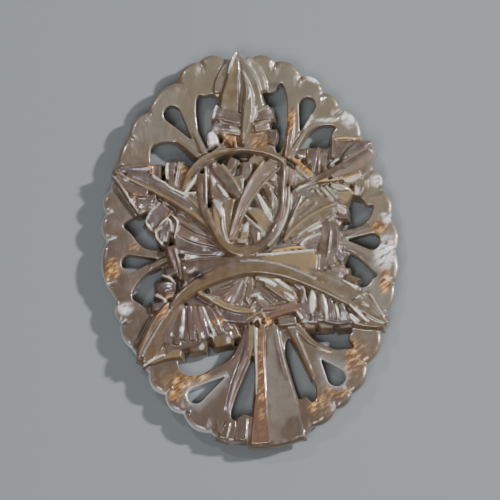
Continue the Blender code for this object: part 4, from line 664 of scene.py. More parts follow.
# Clouds in the nacre: how many to the millimetre, how much fine detail, and a seed of their own
CLOUDS = {
    "drift": (0.16, 2.0, 2.0), "play": (0.8, 2.0, 8.0), "streaks": (1.1, 3.0, 5.0),
    "crinkle": (1.8, 4.0, 9.0), "blush": (1.0, 2.0, 12.0), "wear": (0.5, 3.0, 7.0),
    "swell": (0.45, 1.0, 4.0), "fine ripple": (2.2, 2.0, 3.0),
}
# Where each effect sets in and where it is full, on the scale of what it follows
SETS_IN = {
    "drift": (0.40, 0.62), "lean": (-24 * MM, 20 * MM), "painted_cool_sheen": (0.1, 0.6), "painted_honey_sheen": (0.25, 0.8),
    "play": (0.3, 0.6), "strip tint": (0.55, 1.0), "streaks": (0.35, 0.75), "open sky": (0.15, 0.75),
    "gold": (0.05, 0.7), "pearl": (0.05, 0.8), "lit": (0.42, 0.72), "peak": (0.58, 0.72),
    "pearly": (0.32, 0.55), "blush": (0.46, 0.62), "stain": (0.0, 0.9),
}
# How much of its colour each layer lays on at most, where that isn't all of it
LAYER_STRENGTH = {
    "lean": 0.75, "painted_cool_sheen": 0.35, "painted_honey_sheen": 0.5, "strip tint": 0.25, "streaks": 0.15, "groove": 0.4,
    "bronze": 0.85, "peak": 0.4,
}

# Each pair is what a share is multiplied by and what is then added
TONE_PLAY = (0.5, 0.5)
WORN_ROUGHNESS = (0.35, 0.2)
METALLIC_FALL = (-0.25, 0.4)
GOLD_BRIGHTNESS = 0.6

# Ripples left by the polish, and how the streaks and the crinkled growth are stretched and turned
FINE_RIPPLE_SHARE = 0.22
RIPPLE_STRENGTH = 0.6
RIPPLE_DEPTH = 0.35 * MM
STREAK_STRETCH = (1.0, 0.35, 1.0)
CRINKLE_TURN = -38
CRINKLE_STRETCH = (0.5, 1.4, 1.0)

NACRE_FINISH = {
    "IOR": 1.55, "Coat Weight": 1.0, "Coat Roughness": 0.07, "Thin Film Thickness": 320,
    "Thin Film IOR": 1.4, "Subsurface Weight": 0.45, "Subsurface Radius": (1.0, 0.6, 0.35),
    "Subsurface Scale": 0.9 * MM,
}

# The stage: each lamp's name, place and diameter in metres, and power in watts
LIGHTS = (
    ("key light", (0.48, 0.17, 0.39), 0.05, 4.9),
    ("fill light", (-0.12, -0.30, 0.55), 0.30, 1.8),
    ("glint light", (-0.25, 0.30, 0.55), 0.04, 0.6),
)
SURROUND_COLOUR = (1.0, 0.98, 0.95, 1)
SURROUND_STRENGTH = 0.11
FLOOR_HALF_WIDTH = 1.5
FLOOR_ROUGHNESS = 0.6
CAMERA_AIM = (0.00007, -0.00045, 0.0035)
SENSOR_WIDTH = 36
CLIP_START = 0.01

# What the worked surface takes over from the strips and the plate under it
MARKS = (("tone", "FLOAT_VECTOR"), ("tone_share", "FLOAT"), ("strip_tint", "FLOAT"), ("edge_glow", "FLOAT"))


class NodeMaker:
    """Adds nodes to a tree and joins them, so that a tree reads as a list of steps."""

    def __init__(self, tree):
        self.tree = tree

    def put(self, socket, value):
        """Joins a socket to another one, or sets its value."""
        if isinstance(value, bpy.types.NodeSocket):
            self.tree.links.new(value, socket)
        else:
            socket.default_value = value

    def add(self, kind, inputs=None, **settings):
        """A new node with its settings and inputs in place."""
        node = self.tree.nodes.new(kind)
        for name, value in settings.items():
            setattr(node, name, value)
        for key, value in (inputs or {}).items():
            self.put(node.inputs[key], value)
        return node

    def math(self, operation, *values, clamp=False):
        """The result of a sum on numbers."""
        node = self.add("ShaderNodeMath", operation=operation, use_clamp=clamp)
        for socket, value in zip(node.inputs, values):
            self.put(socket, value)
        return node.outputs[0]

    def vector(self, operation, *values):
        """The result of a sum on vectors."""
        node = self.add("ShaderNodeVectorMath", operation=operation)
        for socket, value in zip(node.inputs, values):
            self.put(socket, value)
        return node.outputs["Value" if operation in ("DOT_PRODUCT", "LENGTH", "DISTANCE") else "Vector"]

    def scaled(self, vector, factor):
        """A vector made longer or shorter by a factor."""
        inputs = {"Vector": vector, "Scale": factor}
        return self.add("ShaderNodeVectorMath", inputs, operation="SCALE").outputs[0]

    def attribute(self, name, data_type="FLOAT"):
        """A value that the geometry carries under a name."""
        return self.add("GeometryNodeInputNamedAttribute", {"Name": name}, data_type=data_type).outputs[0]

    def store(self, geometry, name, value, data_type="FLOAT", domain="POINT"):
        """The geometry with a value stored on it under a name."""
        inputs = {"Geometry": geometry, "Name": name, "Value": value}
        node = self.add("GeometryNodeStoreNamedAttribute", inputs, data_type=data_type, domain=domain)
        return node.outputs[0]


# The plate

def back_height(x, y):
    """Height of the back of the dished plate at a place, in millimetres."""
    return DISH_RISE * ((x / HALF_WIDTH) ** 2 + (y / HALF_LENGTH) ** 2) - PAD_DEPTH


def rim_point(angle, share):
    """A place on the leaning oval, at a share of its size."""
    turn = math.radians(angle)
    out = Vector((HALF_WIDTH * math.cos(turn), HALF_LENGTH * math.sin(turn)))
    return Matrix.Rotation(math.radians(OVAL_LEAN), 2) @ out * share


def scalloped_rim():
    """The rim as one closed outline, each scallop an arc from notch to notch."""
    points = []
    for here, there in zip(NOTCHES, NOTCHES[1:] + NOTCHES[:1]):
        start = rim_point(here[0], here[1])
        end = rim_point(there[0], there[1])
        chord = end - start
        outward = Vector((-chord.y, chord.x)).normalized()
        for step in range(SCALLOP_STEPS):
            along = step / SCALLOP_STEPS
            rise = here[2] * math.sin(math.pi * along) ** SCALLOP_FULLNESS
            points.append(start + chord * along + outward * rise)
    return points


def teardrop(centre, radius, tip):
    """A round end drawn out to a point."""
    centre = Vector(centre)
    reach = Vector(tip) - centre
    heading = math.atan2(reach.y, reach.x)
    opening = math.acos(radius / reach.length)
    points = [Vector(tip)]
    for step in range(TEARDROP_STEPS):
        turn = heading + opening + (2 * math.pi - 2 * opening) * step / (TEARDROP_STEPS - 1)
        points.append(centre + radius * Vector((math.cos(turn), math.sin(turn))))
    return points


def smooth_loop(corners):
    """A closed curve through the given points, with a point about every edge step."""
    corners = [Vector(corner) for corner in corners]
    points = []
    for index, here in enumerate(corners):
        before = corners[index - 1]
        ahead = corners[(index + 1) % len(corners)]
        beyond = corners[(index + 2) % len(corners)]
        pull = (ahead - before) / 2
        push = (beyond - here) / 2
        steps = max(1, round((ahead - here).length / EDGE_STEP))
        for step in range(steps):
            t = step / steps
            points.append(here * (2 * t**3 - 3 * t**2 + 1) + pull * (t**3 - 2 * t**2 + t)
                          + ahead * (3 * t**2 - 2 * t**3) + push * (t**3 - t**2))
    return points


def evenly_cut(loop):
    """The loop with extra points on its long straight stretches."""
    points = []
    for here, ahead in zip(loop, loop[1:] + loop[:1]):
        steps = max(1, round((ahead - here).length / EDGE_STEP))
        points += [here.lerp(ahead, step / steps) for step in range(steps)]
    return points


def facing(loop, inward_left):
    """The loop turned so that the shell lies on its left."""
    area = sum(a.x * b.y - a.y * b.x for a, b in zip(loop, loop[1:] + loop[:1]))
    return loop if (area > 0) == inward_left else loop[::-1]


def distance_to(loops, places):
    """Distance from each place to the nearest line of the loops."""
    starts = np.array([point for loop in loops for point in loop])
    ends = np.array([point for loop in loops for point in loop[1:] + loop[:1]])
    runs = ends - starts
    squares = np.maximum((runs**2).sum(axis=1), TINY_SQUARE)
    nearest = np.full(len(places), np.inf)
    for start, run, square in zip(starts, runs, squares):
        along = np.clip(((places - start) @ run) / square, 0, 1)
        nearest = np.minimum(nearest, np.hypot(*(places - start - along[:, None] * run).T))
    return nearest


def within(loops, places):
    """Whether each place is on the shell: a line from it crosses the outlines an odd number of times."""
    crossings = np.zeros(len(places), int)
    for loop in loops:
        for start, end in zip(loop, loop[1:] + loop[:1]):
            beside = (places[:, 1] > start.y) != (places[:, 1] > end.y)
            rise = end.y - start.y if end.y != start.y else 1
            crossing = start.x + (places[:, 1] - start.y) * (end.x - start.x) / rise
            crossings += beside & (places[:, 0] < crossing)
    return crossings % 2 == 1


def inner_rows(loops, offsets):
    """Points in rows at the given distances inside the loops, left out where rows would run together."""
    rows = []
    for offset in offsets:
        for loop in loops:
            for before, here, ahead in zip(loop[-1:] + loop[:-1], loop, loop[1:] + loop[:1]):
                chord = (ahead - before).normalized()
                rows.append(((here + Vector((-chord.y, chord.x)) * offset).to_tuple(), offset))
    return np.array([place for place, _ in rows]), np.array([offset for _, offset in rows])


def lattice(spacing):
    """Points of an even triangular lattice over the whole oval."""
    rise = spacing * math.sqrt(3) / 2
    points = []
    rows = int(HALF_LENGTH * LATTICE_REACH / rise)
    columns = int(HALF_WIDTH * LATTICE_REACH / spacing)
    for row in range(-rows, rows + 1):
        for column in range(-columns, columns + 1):
            points.append(((column + 0.5 * (row % 2)) * spacing, row * rise))
    return np.array(points)


def rounding(distance, width, depth):
    """How far a rounded edge has fallen at each distance from it."""
    inside = np.clip(1 - distance / width, 0, 1)
    return depth * (1 - np.sqrt(1 - inside**2))


def notch_grooves(places, sizes):
    """Depth of the shallow grooves that run in from the notches and part the scallops."""
    depth = np.zeros(len(places))
    for angle, share, rise in NOTCHES:
        outer = np.array(rim_point(angle, share))
        inner = outer * (1 - sizes.groove_length / MM / np.linalg.norm(outer))
        run = inner - outer
        along = np.clip(((places - outer) @ run) / (run @ run), 0, 1)
        aside = np.hypot(*(places - outer - along[:, None] * run).T) / (sizes.groove_width / MM)
        groove = (sizes.groove_depth / MM) * (1 - along) * np.exp(-aside**2)
        depth = np.maximum(depth, groove if rise else groove * PLAIN_NOTCH_SHARE)
    return depth


def edge_glow(places, rim_distance, teardrop_distance):
    """Painted glow for light through the shell: strong on the thin lower left rim, fainter round teardrops.
    """
    heading = np.degrees(np.arctan2(places[:, 1] / HALF_LENGTH, places[:, 0] / HALF_WIDTH))
    lower_left = np.exp(-(((heading - LOWER_GLOW_HEADING) / LOWER_GLOW_SPREAD) ** 4))
    left = LEFT_GLOW * np.exp(-(((np.abs(heading) - LEFT_GLOW_HEADING) / LEFT_GLOW_SPREAD) ** 4))
    glow = np.maximum(lower_left, left) * np.exp(-((rim_distance / RIM_GLOW_REACH) ** 2))
    low = np.clip(-places[:, 1] / HALF_LENGTH, 0, 1)
    near_teardrop = np.exp(-((teardrop_distance / TEARDROP_GLOW_REACH) ** 2))
    return np.maximum(glow, TEARDROP_GLOW * low * near_teardrop)


def pierced_faces(loops, extra):
    """Points and faces of the flat plate: its outlines with more points inside, cut into triangles."""
    outlines = []
    edges = []
    for loop in loops:
        first = len(outlines)
        outlines += loop
        edges += [(first + step, first + (step + 1) % len(loop)) for step in range(len(loop))]
    places = outlines + [Vector(place) for place in extra]
    flat, _, faces, *_ = delaunay_2d_cdt(places, edges, [], 1, WELD_DISTANCE)
    spots = np.array([place.to_tuple() for place in flat])
    kept = within(loops, spots[np.array(faces)].mean(axis=1))
    return spots, [face for face, keep in zip(faces, kept) if keep]


def closed_plate(spots, faces, top, under, glow):
    """One closed mesh of the plate's two faces and the walls between them."""
    work = bmesh.new()
    # Share of painted glow on each point, a pale colour standing in for light through the shell
    glow_layer = work.verts.layers.float.new("edge_glow")
    upper = [work.verts.new((x * MM, y * MM, z * MM)) for (x, y), z in zip(spots, top)]
    lower = [work.verts.new((x * MM, y * MM, z * MM)) for (x, y), z in zip(spots, under)]
    for above, below, share in zip(upper, lower, glow):
        above[glow_layer] = below[glow_layer] = share
    for face in faces:
        work.faces.new([upper[corner] for corner in face])
        work.faces.new([lower[corner] for corner in reversed(face)])
    work.verts.index_update()
    count = len(spots)
    for edge in [edge for edge in work.edges if edge.is_boundary]:
        first, last = (loop.vert.index for loop in (edge.link_loops[0], edge.link_loops[0].link_loop_next))
        if first < count:
            work.faces.new((upper[last], upper[first], lower[first], lower[last]))
    loose = [vert for vert in work.verts if not vert.link_faces]
    bmesh.ops.delete(work, geom=loose, context="VERTS")
    mesh = bpy.data.meshes.new("pierced plate")
    work.to_mesh(mesh)
    work.free()
    return mesh


def plate_mesh(sizes):
    """The pierced plate as one closed mesh, with rows of points along every edge so that it rounds off."""
    rim = facing(scalloped_rim(), True)
    holes = [facing(evenly_cut(teardrop(*drop)), False) for drop in TEARDROPS]
    holes += [facing(smooth_loop(hole), False) for hole in OPENINGS.values()]
    loops = [rim] + holes
    rim_width = sizes.rim_round / MM
    hole_width = sizes.hole_round / MM
    rim_rows, rim_offsets = inner_rows([rim], [rim_width * share for share in RIM_ROWS])
    hole_rows, hole_offsets = inner_rows(holes, [hole_width * share for share in HOLE_ROWS])
    rows = np.concatenate([rim_rows, hole_rows])
    offsets = np.concatenate([rim_offsets, hole_offsets])
    rows = rows[distance_to(loops, rows) > offsets * ROW_CLEARANCE]
    rows = rows[within(loops, rows)]
    grid = lattice(sizes.plate_cell / MM)
    grid = grid[within(loops, grid)]
    clear = distance_to([rim], grid) > rim_width + RIM_CLEARANCE
    clear &= distance_to(holes, grid) > hole_width + HOLE_CLEARANCE
    spots, faces = pierced_faces(loops, np.concatenate([rows, grid[clear]]))
    rim_distance = distance_to([rim], spots)
    hole_distance = distance_to(holes, spots)
    back = back_height(spots[:, 0], spots[:, 1])
    fallen = np.maximum(rounding(rim_distance, rim_width, sizes.rim_drop / MM),
                        rounding(hole_distance, hole_width, sizes.hole_drop / MM))
    top = back + sizes.plate_thickness / MM - np.maximum(fallen, notch_grooves(spots, sizes))
    under = back + rounding(np.minimum(rim_distance, hole_distance), UNDER_ROUND, UNDER_DROP)
    glow = edge_glow(spots, rim_distance, distance_to(holes[:len(TEARDROPS)], spots))
    return closed_plate(spots, faces, top, np.maximum(under, 0), glow)


# The carved strips

def rails_mesh(colours):
    """Every strip's stations as a chain of points that carry its sizes, slope, hollow and tone."""
    mesh = bpy.data.meshes.new("strip rails")
    points, edges, tones, rows = [], [], [], []
    for group, hollow in CARVING:
        for slope, tone, *stations in group:
            colour, share = TONES[tone]
            fade = BRIGHT_FADE if tone in FADING else 0
            last = len(stations) - 1
            edges += [(len(points) + step, len(points) + step + 1) for step in range(last)]
            tones += [tuple(getattr(colours, colour))] * len(stations)
            for step, (x, y, half_width, height) in enumerate(stations):
                tone_share = share * (1 - fade * (2 * step / last - 1) ** 2)
                points.append((x * MM, y * MM, 0))
                rows.append((half_width * MM, height * MM, slope, hollow, tone_share))
    mesh.from_pydata(points, edges, [])
    for name, numbers in zip(("half_width", "height", "slope", "hollow", "tone_share"), zip(*rows)):
        mesh.attributes.new(name, "FLOAT", "POINT").data.foreach_set("value", numbers)
    tone_layer = mesh.attributes.new("tone", "FLOAT_VECTOR", "POINT")
    tone_layer.data.foreach_set("vector", np.array(tones).ravel())
    return mesh


def corner_turn(make, step):
    """How far a round corner has gone out and fallen, at a step counted in from its edge."""
    rounded = make.math("DIVIDE", step, CORNER_SEGMENTS, clamp=True)
    turn = make.math("MULTIPLY", make.math("SUBTRACT", 1, rounded), math.pi / 2)
    return make.math("SINE", turn), make.math("SUBTRACT", 1, make.math("COSINE", turn))


def middle_share(make, step, last):
    """The share of the way along the part between the two round corners."""
    span = make.math("SUBTRACT", last, 2 * CORNER_SEGMENTS)
    return make.math("DIVIDE", make.math("SUBTRACT", step, CORNER_SEGMENTS), span, clamp=True)


def stored(make, geometry, values, data_type="FLOAT"):
    """The geometry with each value stored on its points under its name."""
    for name, value in values.items():
        geometry = make.store(geometry, name, value, data_type)
    return geometry


def smooth_rails(make, rails, sizes):
    """Smooth rails with stations a section spacing apart, and closer ones where each end is rounded."""
    chains = {"Curve": make.add("GeometryNodeMeshToCurve", {"Mesh": rails}).outputs[0]}
    smooth = make.add("GeometryNodeCurveSplineType", chains, spline_type="CATMULL_ROM").outputs[0]
    length = make.add("GeometryNodeSplineLength").outputs["Length"]
    spaces = make.math("CEIL", make.math("DIVIDE", length, sizes["Section spacing"]))
    count = make.math("ADD", spaces, 2 * CORNER_SEGMENTS + 2)
    cut = make.add("GeometryNodeResampleCurve", {"Curve": smooth, "Count": count}, mode="COUNT").outputs[0]
    index = make.add("GeometryNodeSplineParameter").outputs["Index"]
    spline = make.add("GeometryNodeSplineLength")
    last = make.math("SUBTRACT", spline.outputs["Point Count"], 1)
    from_end = make.math("MINIMUM", index, make.math("SUBTRACT", last, index))
    out, fall = corner_turn(make, from_end)
    end_side = make.math("SIGN", make.math("SUBTRACT", index, make.math("MULTIPLY", last, 0.5)))
    round_size = sizes["Edge round"]
    inner = make.math("SUBTRACT", spline.outputs["Length"], make.math("MULTIPLY", round_size, 2))
    reach = make.math("MULTIPLY_ADD", middle_share(make, index, last), inner, round_size)
    past = make.math("MULTIPLY", end_side, make.math("MULTIPLY", round_size, out))
    carried = {axis: make.attribute(name) for axis, name in zip("XYZ", RAIL_VALUES)}
    wanted = {
        "Curves": smooth, "Value": make.add("ShaderNodeCombineXYZ", carried).outputs[0],
        "Length": make.math("ADD", reach, past),
        "Curve Index": make.add("GeometryNodeCurveOfPoint").outputs["Curve Index"],
    }
    sampled = make.add("GeometryNodeSampleCurve", wanted, data_type="FLOAT_VECTOR", mode="LENGTH")
    forward = make.vector("NORMALIZE", make.vector("MULTIPLY", sampled.outputs["Tangent"], (1, 1, 0)))
    parts = make.add("ShaderNodeSeparateXYZ", {"Vector": sampled.outputs["Value"]})
    at_end = make.math("LESS_THAN", from_end, 0.5)
    along = {"spine": sampled.outputs["Position"], "forward": forward}
    rail = stored(make, cut, along, "FLOAT_VECTOR")
    values = dict(zip(RAIL_VALUES, parts.outputs))
    values["end_drop"] = make.math("MULTIPLY", round_size, fall)
    values["end_out"] = make.math("MULTIPLY", at_end, end_side)
    return stored(make, rail, values)


def strip_profile(make):
    """A closed ring of points that say where they stand on a section: feet, flanks, corners, hollow."""
    top_count = 2 * (CORNER_SEGMENTS + 1) + HOLLOW_SEGMENTS - 1
    circle = {"Resolution": top_count + 2 * WALL_POINTS, "Radius": MM}
    ring = make.add("GeometryNodeCurvePrimitiveCircle", circle).outputs[0]
    step = make.math("SUBTRACT", make.add("GeometryNodeInputIndex").outputs[0], WALL_POINTS)
    back_step = make.math("SUBTRACT", top_count - 1, step)
    corner = make.math("MINIMUM", step, back_step)
    out, fall = corner_turn(make, corner)
    side = make.math("SIGN", make.math("SUBTRACT", back_step, step))
    share = middle_share(make, step, top_count - 1)
    # Steps are whole numbers, so each test stands half a step past the last one that it takes in
    return stored(make, ring, {
        "spread": make.math("MULTIPLY_ADD", share, -2, 1),
        "corner": make.math("MULTIPLY", side, out),
        "fall": fall,
        "side": side,
        "flank": make.math("LESS_THAN", corner, -0.5),
        "foot": make.math("LESS_THAN", corner, -1.5),
    })


def dish_height(make, place, sizes):
    """Height of the plate's back below a place."""
    parts = make.add("ShaderNodeSeparateXYZ", {"Vector": place})
    across = make.math("POWER", make.math("DIVIDE", parts.outputs["X"], HALF_WIDTH * MM), 2)
    along = make.math("POWER", make.math("DIVIDE", parts.outputs["Y"], HALF_LENGTH * MM), 2)
    return make.math("MULTIPLY_ADD", make.math("ADD", across, along), sizes["Dish rise"], -PAD_DEPTH * MM)


def placed_sections(make, strips, sizes):
    """Every point of the swept strips moved to its place on the strip's section."""
    spine, forward = (make.attribute(name, "FLOAT_VECTOR") for name in ("spine", "forward"))
    half_width, height, foot, flank = map(make.attribute, ("half_width", "height", "foot", "flank"))
    aside = make.vector("CROSS_PRODUCT", (0, 0, 1), forward)
    radius = make.math("MINIMUM", sizes["Edge round"], make.math("MULTIPLY", half_width, CORNER_SHARE))
    flat_part = make.math("MULTIPLY", make.math("SUBTRACT", half_width, radius), make.attribute("spread"))
    top_across = make.math("MULTIPLY_ADD", make.attribute("corner"), radius, flat_part)
    flank_width = make.math("MINIMUM", sizes["Flank width"], make.math("MULTIPLY", half_width, FLANK_SHARE))
    draft = make.math("MULTIPLY_ADD", foot, make.math("MULTIPLY", height, sizes["Wall draft"]), flank_width)
    wall_across = make.math("MULTIPLY", make.attribute("side"), make.math("ADD", half_width, draft))
    across = mixed(make, flank, top_across, wall_across)
    out = make.math("MULTIPLY", make.math("MULTIPLY", flank, draft), make.attribute("end_out"))
    moved = make.vector("ADD", make.scaled(aside, across), make.scaled(forward, out))
    place = make.vector("ADD", spine, moved)
    share = make.math("DIVIDE", top_across, half_width)
    sunk = make.math("MULTIPLY", make.math("MULTIPLY", make.attribute("hollow"), half_width),
                     make.math("SUBTRACT", 1, make.math("MULTIPLY", share, share)))
    level = make.math("MULTIPLY_ADD", make.attribute("slope"), top_across, height)
    level = make.math("SUBTRACT", level, make.math("MULTIPLY", radius, make.attribute("fall")))
    level = make.math("SUBTRACT", make.math("SUBTRACT", level, make.attribute("end_drop")), sunk)
    steep = make.math("MULTIPLY", flank_width, sizes["Flank steepness"])
    level = make.math("SUBTRACT", level, make.math("MULTIPLY", flank, steep))
    level = make.math("MAXIMUM", level, LEAST_LEVEL * MM)
    dish = dish_height(make, place, sizes)
    at_foot = make.math("ADD", make.math("MAXIMUM", dish, 0), sizes["Strip inset"])
    lifted = mixed(make, foot, make.math("ADD", level, dish), at_foot)
    x, y, _ = make.add("ShaderNodeSeparateXYZ", {"Vector": place}).outputs
    final = make.add("ShaderNodeCombineXYZ", {"X": x, "Y": y, "Z": lifted}).outputs[0]
    return make.add("GeometryNodeSetPosition", {"Geometry": strips, "Position": final}).outputs[0]


def mixed(make, share, first, second):
    """One number at share 0 turning to the other at share 1."""
    node = make.add("ShaderNodeMix", {"Factor": share, "A": first, "B": second}, data_type="FLOAT")
    return node.outputs["Result"]


def hand_wobble(make, mesh, sizes):
    """Slight unevenness of a surface worked by hand, left off the flat back."""
    place = make.add("GeometryNodeInputPosition").outputs[0]
    noise = make.add("ShaderNodeTexNoise", {"Vector": place, "Scale": WOBBLE_SCALE, "Detail": 1.0})
    offset = make.vector("SUBTRACT", noise.outputs["Color"], NOISE_MIDDLE)
    upward = make.add("ShaderNodeSeparateXYZ", {"Vector": make.add("GeometryNodeInputNormal").outputs[0]})
    amount = make.math("MULTIPLY", sizes["Hand wobble"], make.math("GREATER_THAN", upward.outputs["Z"], 0))
    inputs = {"Geometry": mesh, "Offset": make.scaled(offset, amount)}
    return make.add("GeometryNodeSetPosition", inputs).outputs[0]


def open_sky(make, mesh):
    """Stores how much of the sky each point sees, from 0 deep in a groove to 1 on open ground."""
    place = make.add("GeometryNodeInputPosition").outputs[0]
    normal = make.add("GeometryNodeInputNormal").outputs[0]
    start = make.vector("ADD", place, make.scaled(normal, SKY_START))
    total = 0.0
    for height in SKY_HEIGHTS:
        tilt = math.radians(height)
        for turn in range(SKY_TURNS):
            heading = math.radians(360 * (turn + height / 90) / SKY_TURNS)
            ray = (math.cos(heading) * math.cos(tilt), math.sin(heading) * math.cos(tilt), math.sin(tilt))
            cast = make.add("GeometryNodeRaycast", {"Target Geometry": mesh, "Source Position": start,
                                                    "Ray Direction": ray, "Ray Length": SKY_REACH})
            total = make.math("ADD", total, cast.outputs["Is Hit"])
    seen = make.math("SUBTRACT", 1, make.math("DIVIDE", total, SKY_TURNS * len(SKY_HEIGHTS)))
    return make.store(mesh, "open_sky", seen)


def new_tree(name, objects, numbers):
    """An empty Geometry Nodes tree with its inputs: geometry, objects, a material and numbers."""
    tree = bpy.data.node_groups.new(name, "GeometryNodeTree")
    tree.interface.new_socket("Geometry", in_out="INPUT", socket_type="NodeSocketGeometry")
    tree.interface.new_socket("Geometry", in_out="OUTPUT", socket_type="NodeSocketGeometry")
    for label in objects:
        tree.interface.new_socket(label, in_out="INPUT", socket_type="NodeSocketObject")
    tree.interface.new_socket("Nacre", in_out="INPUT", socket_type="NodeSocketMaterial")
    for label, value in numbers.items():
        socket = tree.interface.new_socket(label, in_out="INPUT", socket_type="NodeSocketFloat")
        socket.default_value = value
    return tree


def finished(make, geometry, material):
    """Ends a tree: no instances left, and the nacre on every face."""
    geometry = make.add("GeometryNodeRealizeInstances", {"Geometry": geometry}).outputs[0]
    geometry = make.add("GeometryNodeSetMaterial", {"Geometry": geometry, "Material": material}).outputs[0]
    make.put(make.add("NodeGroupOutput").inputs[0], geometry)


def carving_tree():
    """Geometry Nodes that sweep the strips along their rails and join them to the plate they are given."""
    tree = new_tree("Carved strips on plate", ["Rails"], STRIP_SIZES)
    make = NodeMaker(tree)
    given = make.add("NodeGroupInput").outputs
    rails = make.add("GeometryNodeObjectInfo", {"Object": given["Rails"]}).outputs["Geometry"]
    profile = strip_profile(make)
    sweep = {"Curve": smooth_rails(make, rails, given), "Profile Curve": profile, "Fill Caps": True}
    strips = make.add("GeometryNodeCurveToMesh", sweep).outputs[0]
    strips = placed_sections(make, strips, given)
    on_top = make.math("SUBTRACT", 1, make.attribute("flank"))
    strips = make.store(strips, "tone_share", make.math("MULTIPLY", make.attribute("tone_share"), on_top))
    island = make.add("GeometryNodeInputMeshIsland").outputs["Island Index"]
    chance = make.add("FunctionNodeRandomValue", {"ID": island, "Seed": TINT_SEED}, data_type="FLOAT")
    strips = make.store(strips, "strip_tint", [out for out in chance.outputs if out.enabled][0])
    strips = make.add("GeometryNodeSplitToInstances", {"Geometry": strips, "Group ID": island}).outputs[0]
    union = make.add("GeometryNodeMeshBoolean", operation="UNION", solver="MANIFOLD")
    make.put(union.inputs["Mesh 2"], given["Geometry"])
    make.put(union.inputs["Mesh 2"], strips)
    finished(make, union.outputs["Mesh"], given["Nacre"])
    return tree


def surface_tree():
    """Geometry Nodes that give the worked surface its unevenness, and the marks of the strips under it."""
    tree = new_tree("Marks of the strips", ["Strips"], {"Hand wobble": HAND_WOBBLE})
    make = NodeMaker(tree)
    given = make.add("NodeGroupInput").outputs
    exact = make.add("GeometryNodeObjectInfo", {"Object": given["Strips"]}).outputs["Geometry"]
    surface = given["Geometry"]
    for name, kind in MARKS:
        sample = make.add("GeometryNodeSampleNearestSurface", {"Mesh": exact}, data_type=kind)
        make.put([socket for socket in sample.inputs if socket.name == "Value" and socket.enabled][0],
                 make.attribute(name, kind))
        surface = make.store(surface, name, sample.outputs[0], kind)
    surface = hand_wobble(make, surface, given)
    surface = make.add("GeometryNodeSetShadeSmooth", {"Geometry": surface}).outputs[0]
    surface = open_sky(make, surface)
    finished(make, surface, given["Nacre"])
    return tree


def set_inputs(modifier, values):
    """Sets a Geometry Nodes modifier's inputs by their names."""
    for item in modifier.node_group.interface.items_tree:
        if item.in_out == "INPUT" and item.name in values:
            modifier[item.identifier] = values[item.name]


def as_mesh(context, made):
    """A plain mesh of an object with its modifiers carried out."""
    graph = context.evaluated_depsgraph_get()
    mesh = bpy.data.meshes.new_from_object(made.evaluated_get(graph), depsgraph=graph)
    if not mesh.polygons:
        raise RuntimeError(f"{made.name} came out with no faces")
    return mesh


# The finish

def spot_shares(places, spots):
    """How strongly each place lies in one of the soft oval spots, from 0 to 1."""
    shares = np.zeros(len(places))
    for (x, y), (half_length, half_width), turn, strength in spots:
        cosine, sine = math.cos(math.radians(turn)), math.sin(math.radians(turn))
        along = ((places[:, 0] - x) * cosine + (places[:, 1] - y) * sine) / half_length
        aside = ((places[:, 1] - y) * cosine - (places[:, 0] - x) * sine) / half_width
        shares = np.maximum(shares, strength * np.exp(-((along**2 + aside**2) ** SPOT_FALLOFF)))
    return shares


def mark_spots(mesh):
    """Stores on each face corner the flashes and stains, and how the face is turned."""
    points = np.empty(len(mesh.vertices) * 3)
    mesh.vertices.foreach_get("co", points)
    corners = np.empty(len(mesh.loops), int)
    mesh.loops.foreach_get("vertex_index", corners)
    places = points.reshape(-1, 3)[corners] / MM
    for name, spots in (("gold", GOLD_FLASHES), ("pearl", PAINTED_PEARL_FLASHES), ("stain", STAINS)):
        layer = mesh.attributes.new(name, "FLOAT", "CORNER")
        layer.data.foreach_set("value", spot_shares(places, spots))
    normals = np.empty(len(mesh.loops) * 3)
    mesh.corner_normals.foreach_get("vector", normals)
    mesh.attributes.new("turned", "FLOAT_VECTOR", "CORNER").data.foreach_set("vector", normals)


def mix_colour(make, share, first, second):
    """One colour at share 0 turning to the other at share 1."""
    node = make.add("ShaderNodeMix", data_type="RGBA")
    make.put(node.inputs[0], share)
    for socket, colour in ((node.inputs[6], first), (node.inputs[7], second)):
        make.put(socket, colour if isinstance(colour, bpy.types.NodeSocket) else (*colour, 1))
    return node.outputs[2]


def over(make, under, colour, share, layer=None):
    """A colour laid over another by a share, which the layer's strength holds back where one is given."""
    if layer:
        share = make.math("MULTIPLY", share, LAYER_STRENGTH[layer])
    return mix_colour(make, share, under, colour)


def named(make, name, output="Fac"):
    """A number or colour that the surface carries under a name."""
    return make.add("ShaderNodeAttribute", attribute_name=name, attribute_type="GEOMETRY").outputs[output]


def ramp(make, value, effect):
    """How far an effect has set in at this value, from 0 to 1 and eased at both ends."""
    low, high = SETS_IN[effect]
    inputs = {"Value": value, "From Min": low, "From Max": high}
    return make.add("ShaderNodeMapRange", inputs, interpolation_type="SMOOTHSTEP").outputs[0]


def cloudy(make, place, kind):
    """Soft cloudy shares of the kind named in the table of clouds."""
    per_mm, detail, seed = CLOUDS[kind]
    inputs = {"Vector": place, "W": seed, "Scale": per_mm / MM, "Detail": detail}
    return make.add("ShaderNodeTexNoise", inputs, noise_dimensions="4D").outputs[0]


def ground_layers(make, colours, place):
    """Champagne clouded with silver, turning rosy brown down and to the left, partly as painted shade."""
    drift = ramp(make, cloudy(make, place, "drift"), "drift")
    colour = over(make, colours.champagne, colours.silver, drift)
    # Partly painted shade: darker rosy brown down and to the left, away from the light
    parts = make.add("ShaderNodeSeparateXYZ", {"Vector": place})
    lean = make.math("ADD", make.math("MULTIPLY", parts.outputs["X"], LEAN_ASIDE), parts.outputs["Y"])
    low = make.math("SUBTRACT", 1, ramp(make, lean, "lean"))
    return over(make, colour, colours.rose_brown, low, "lean")


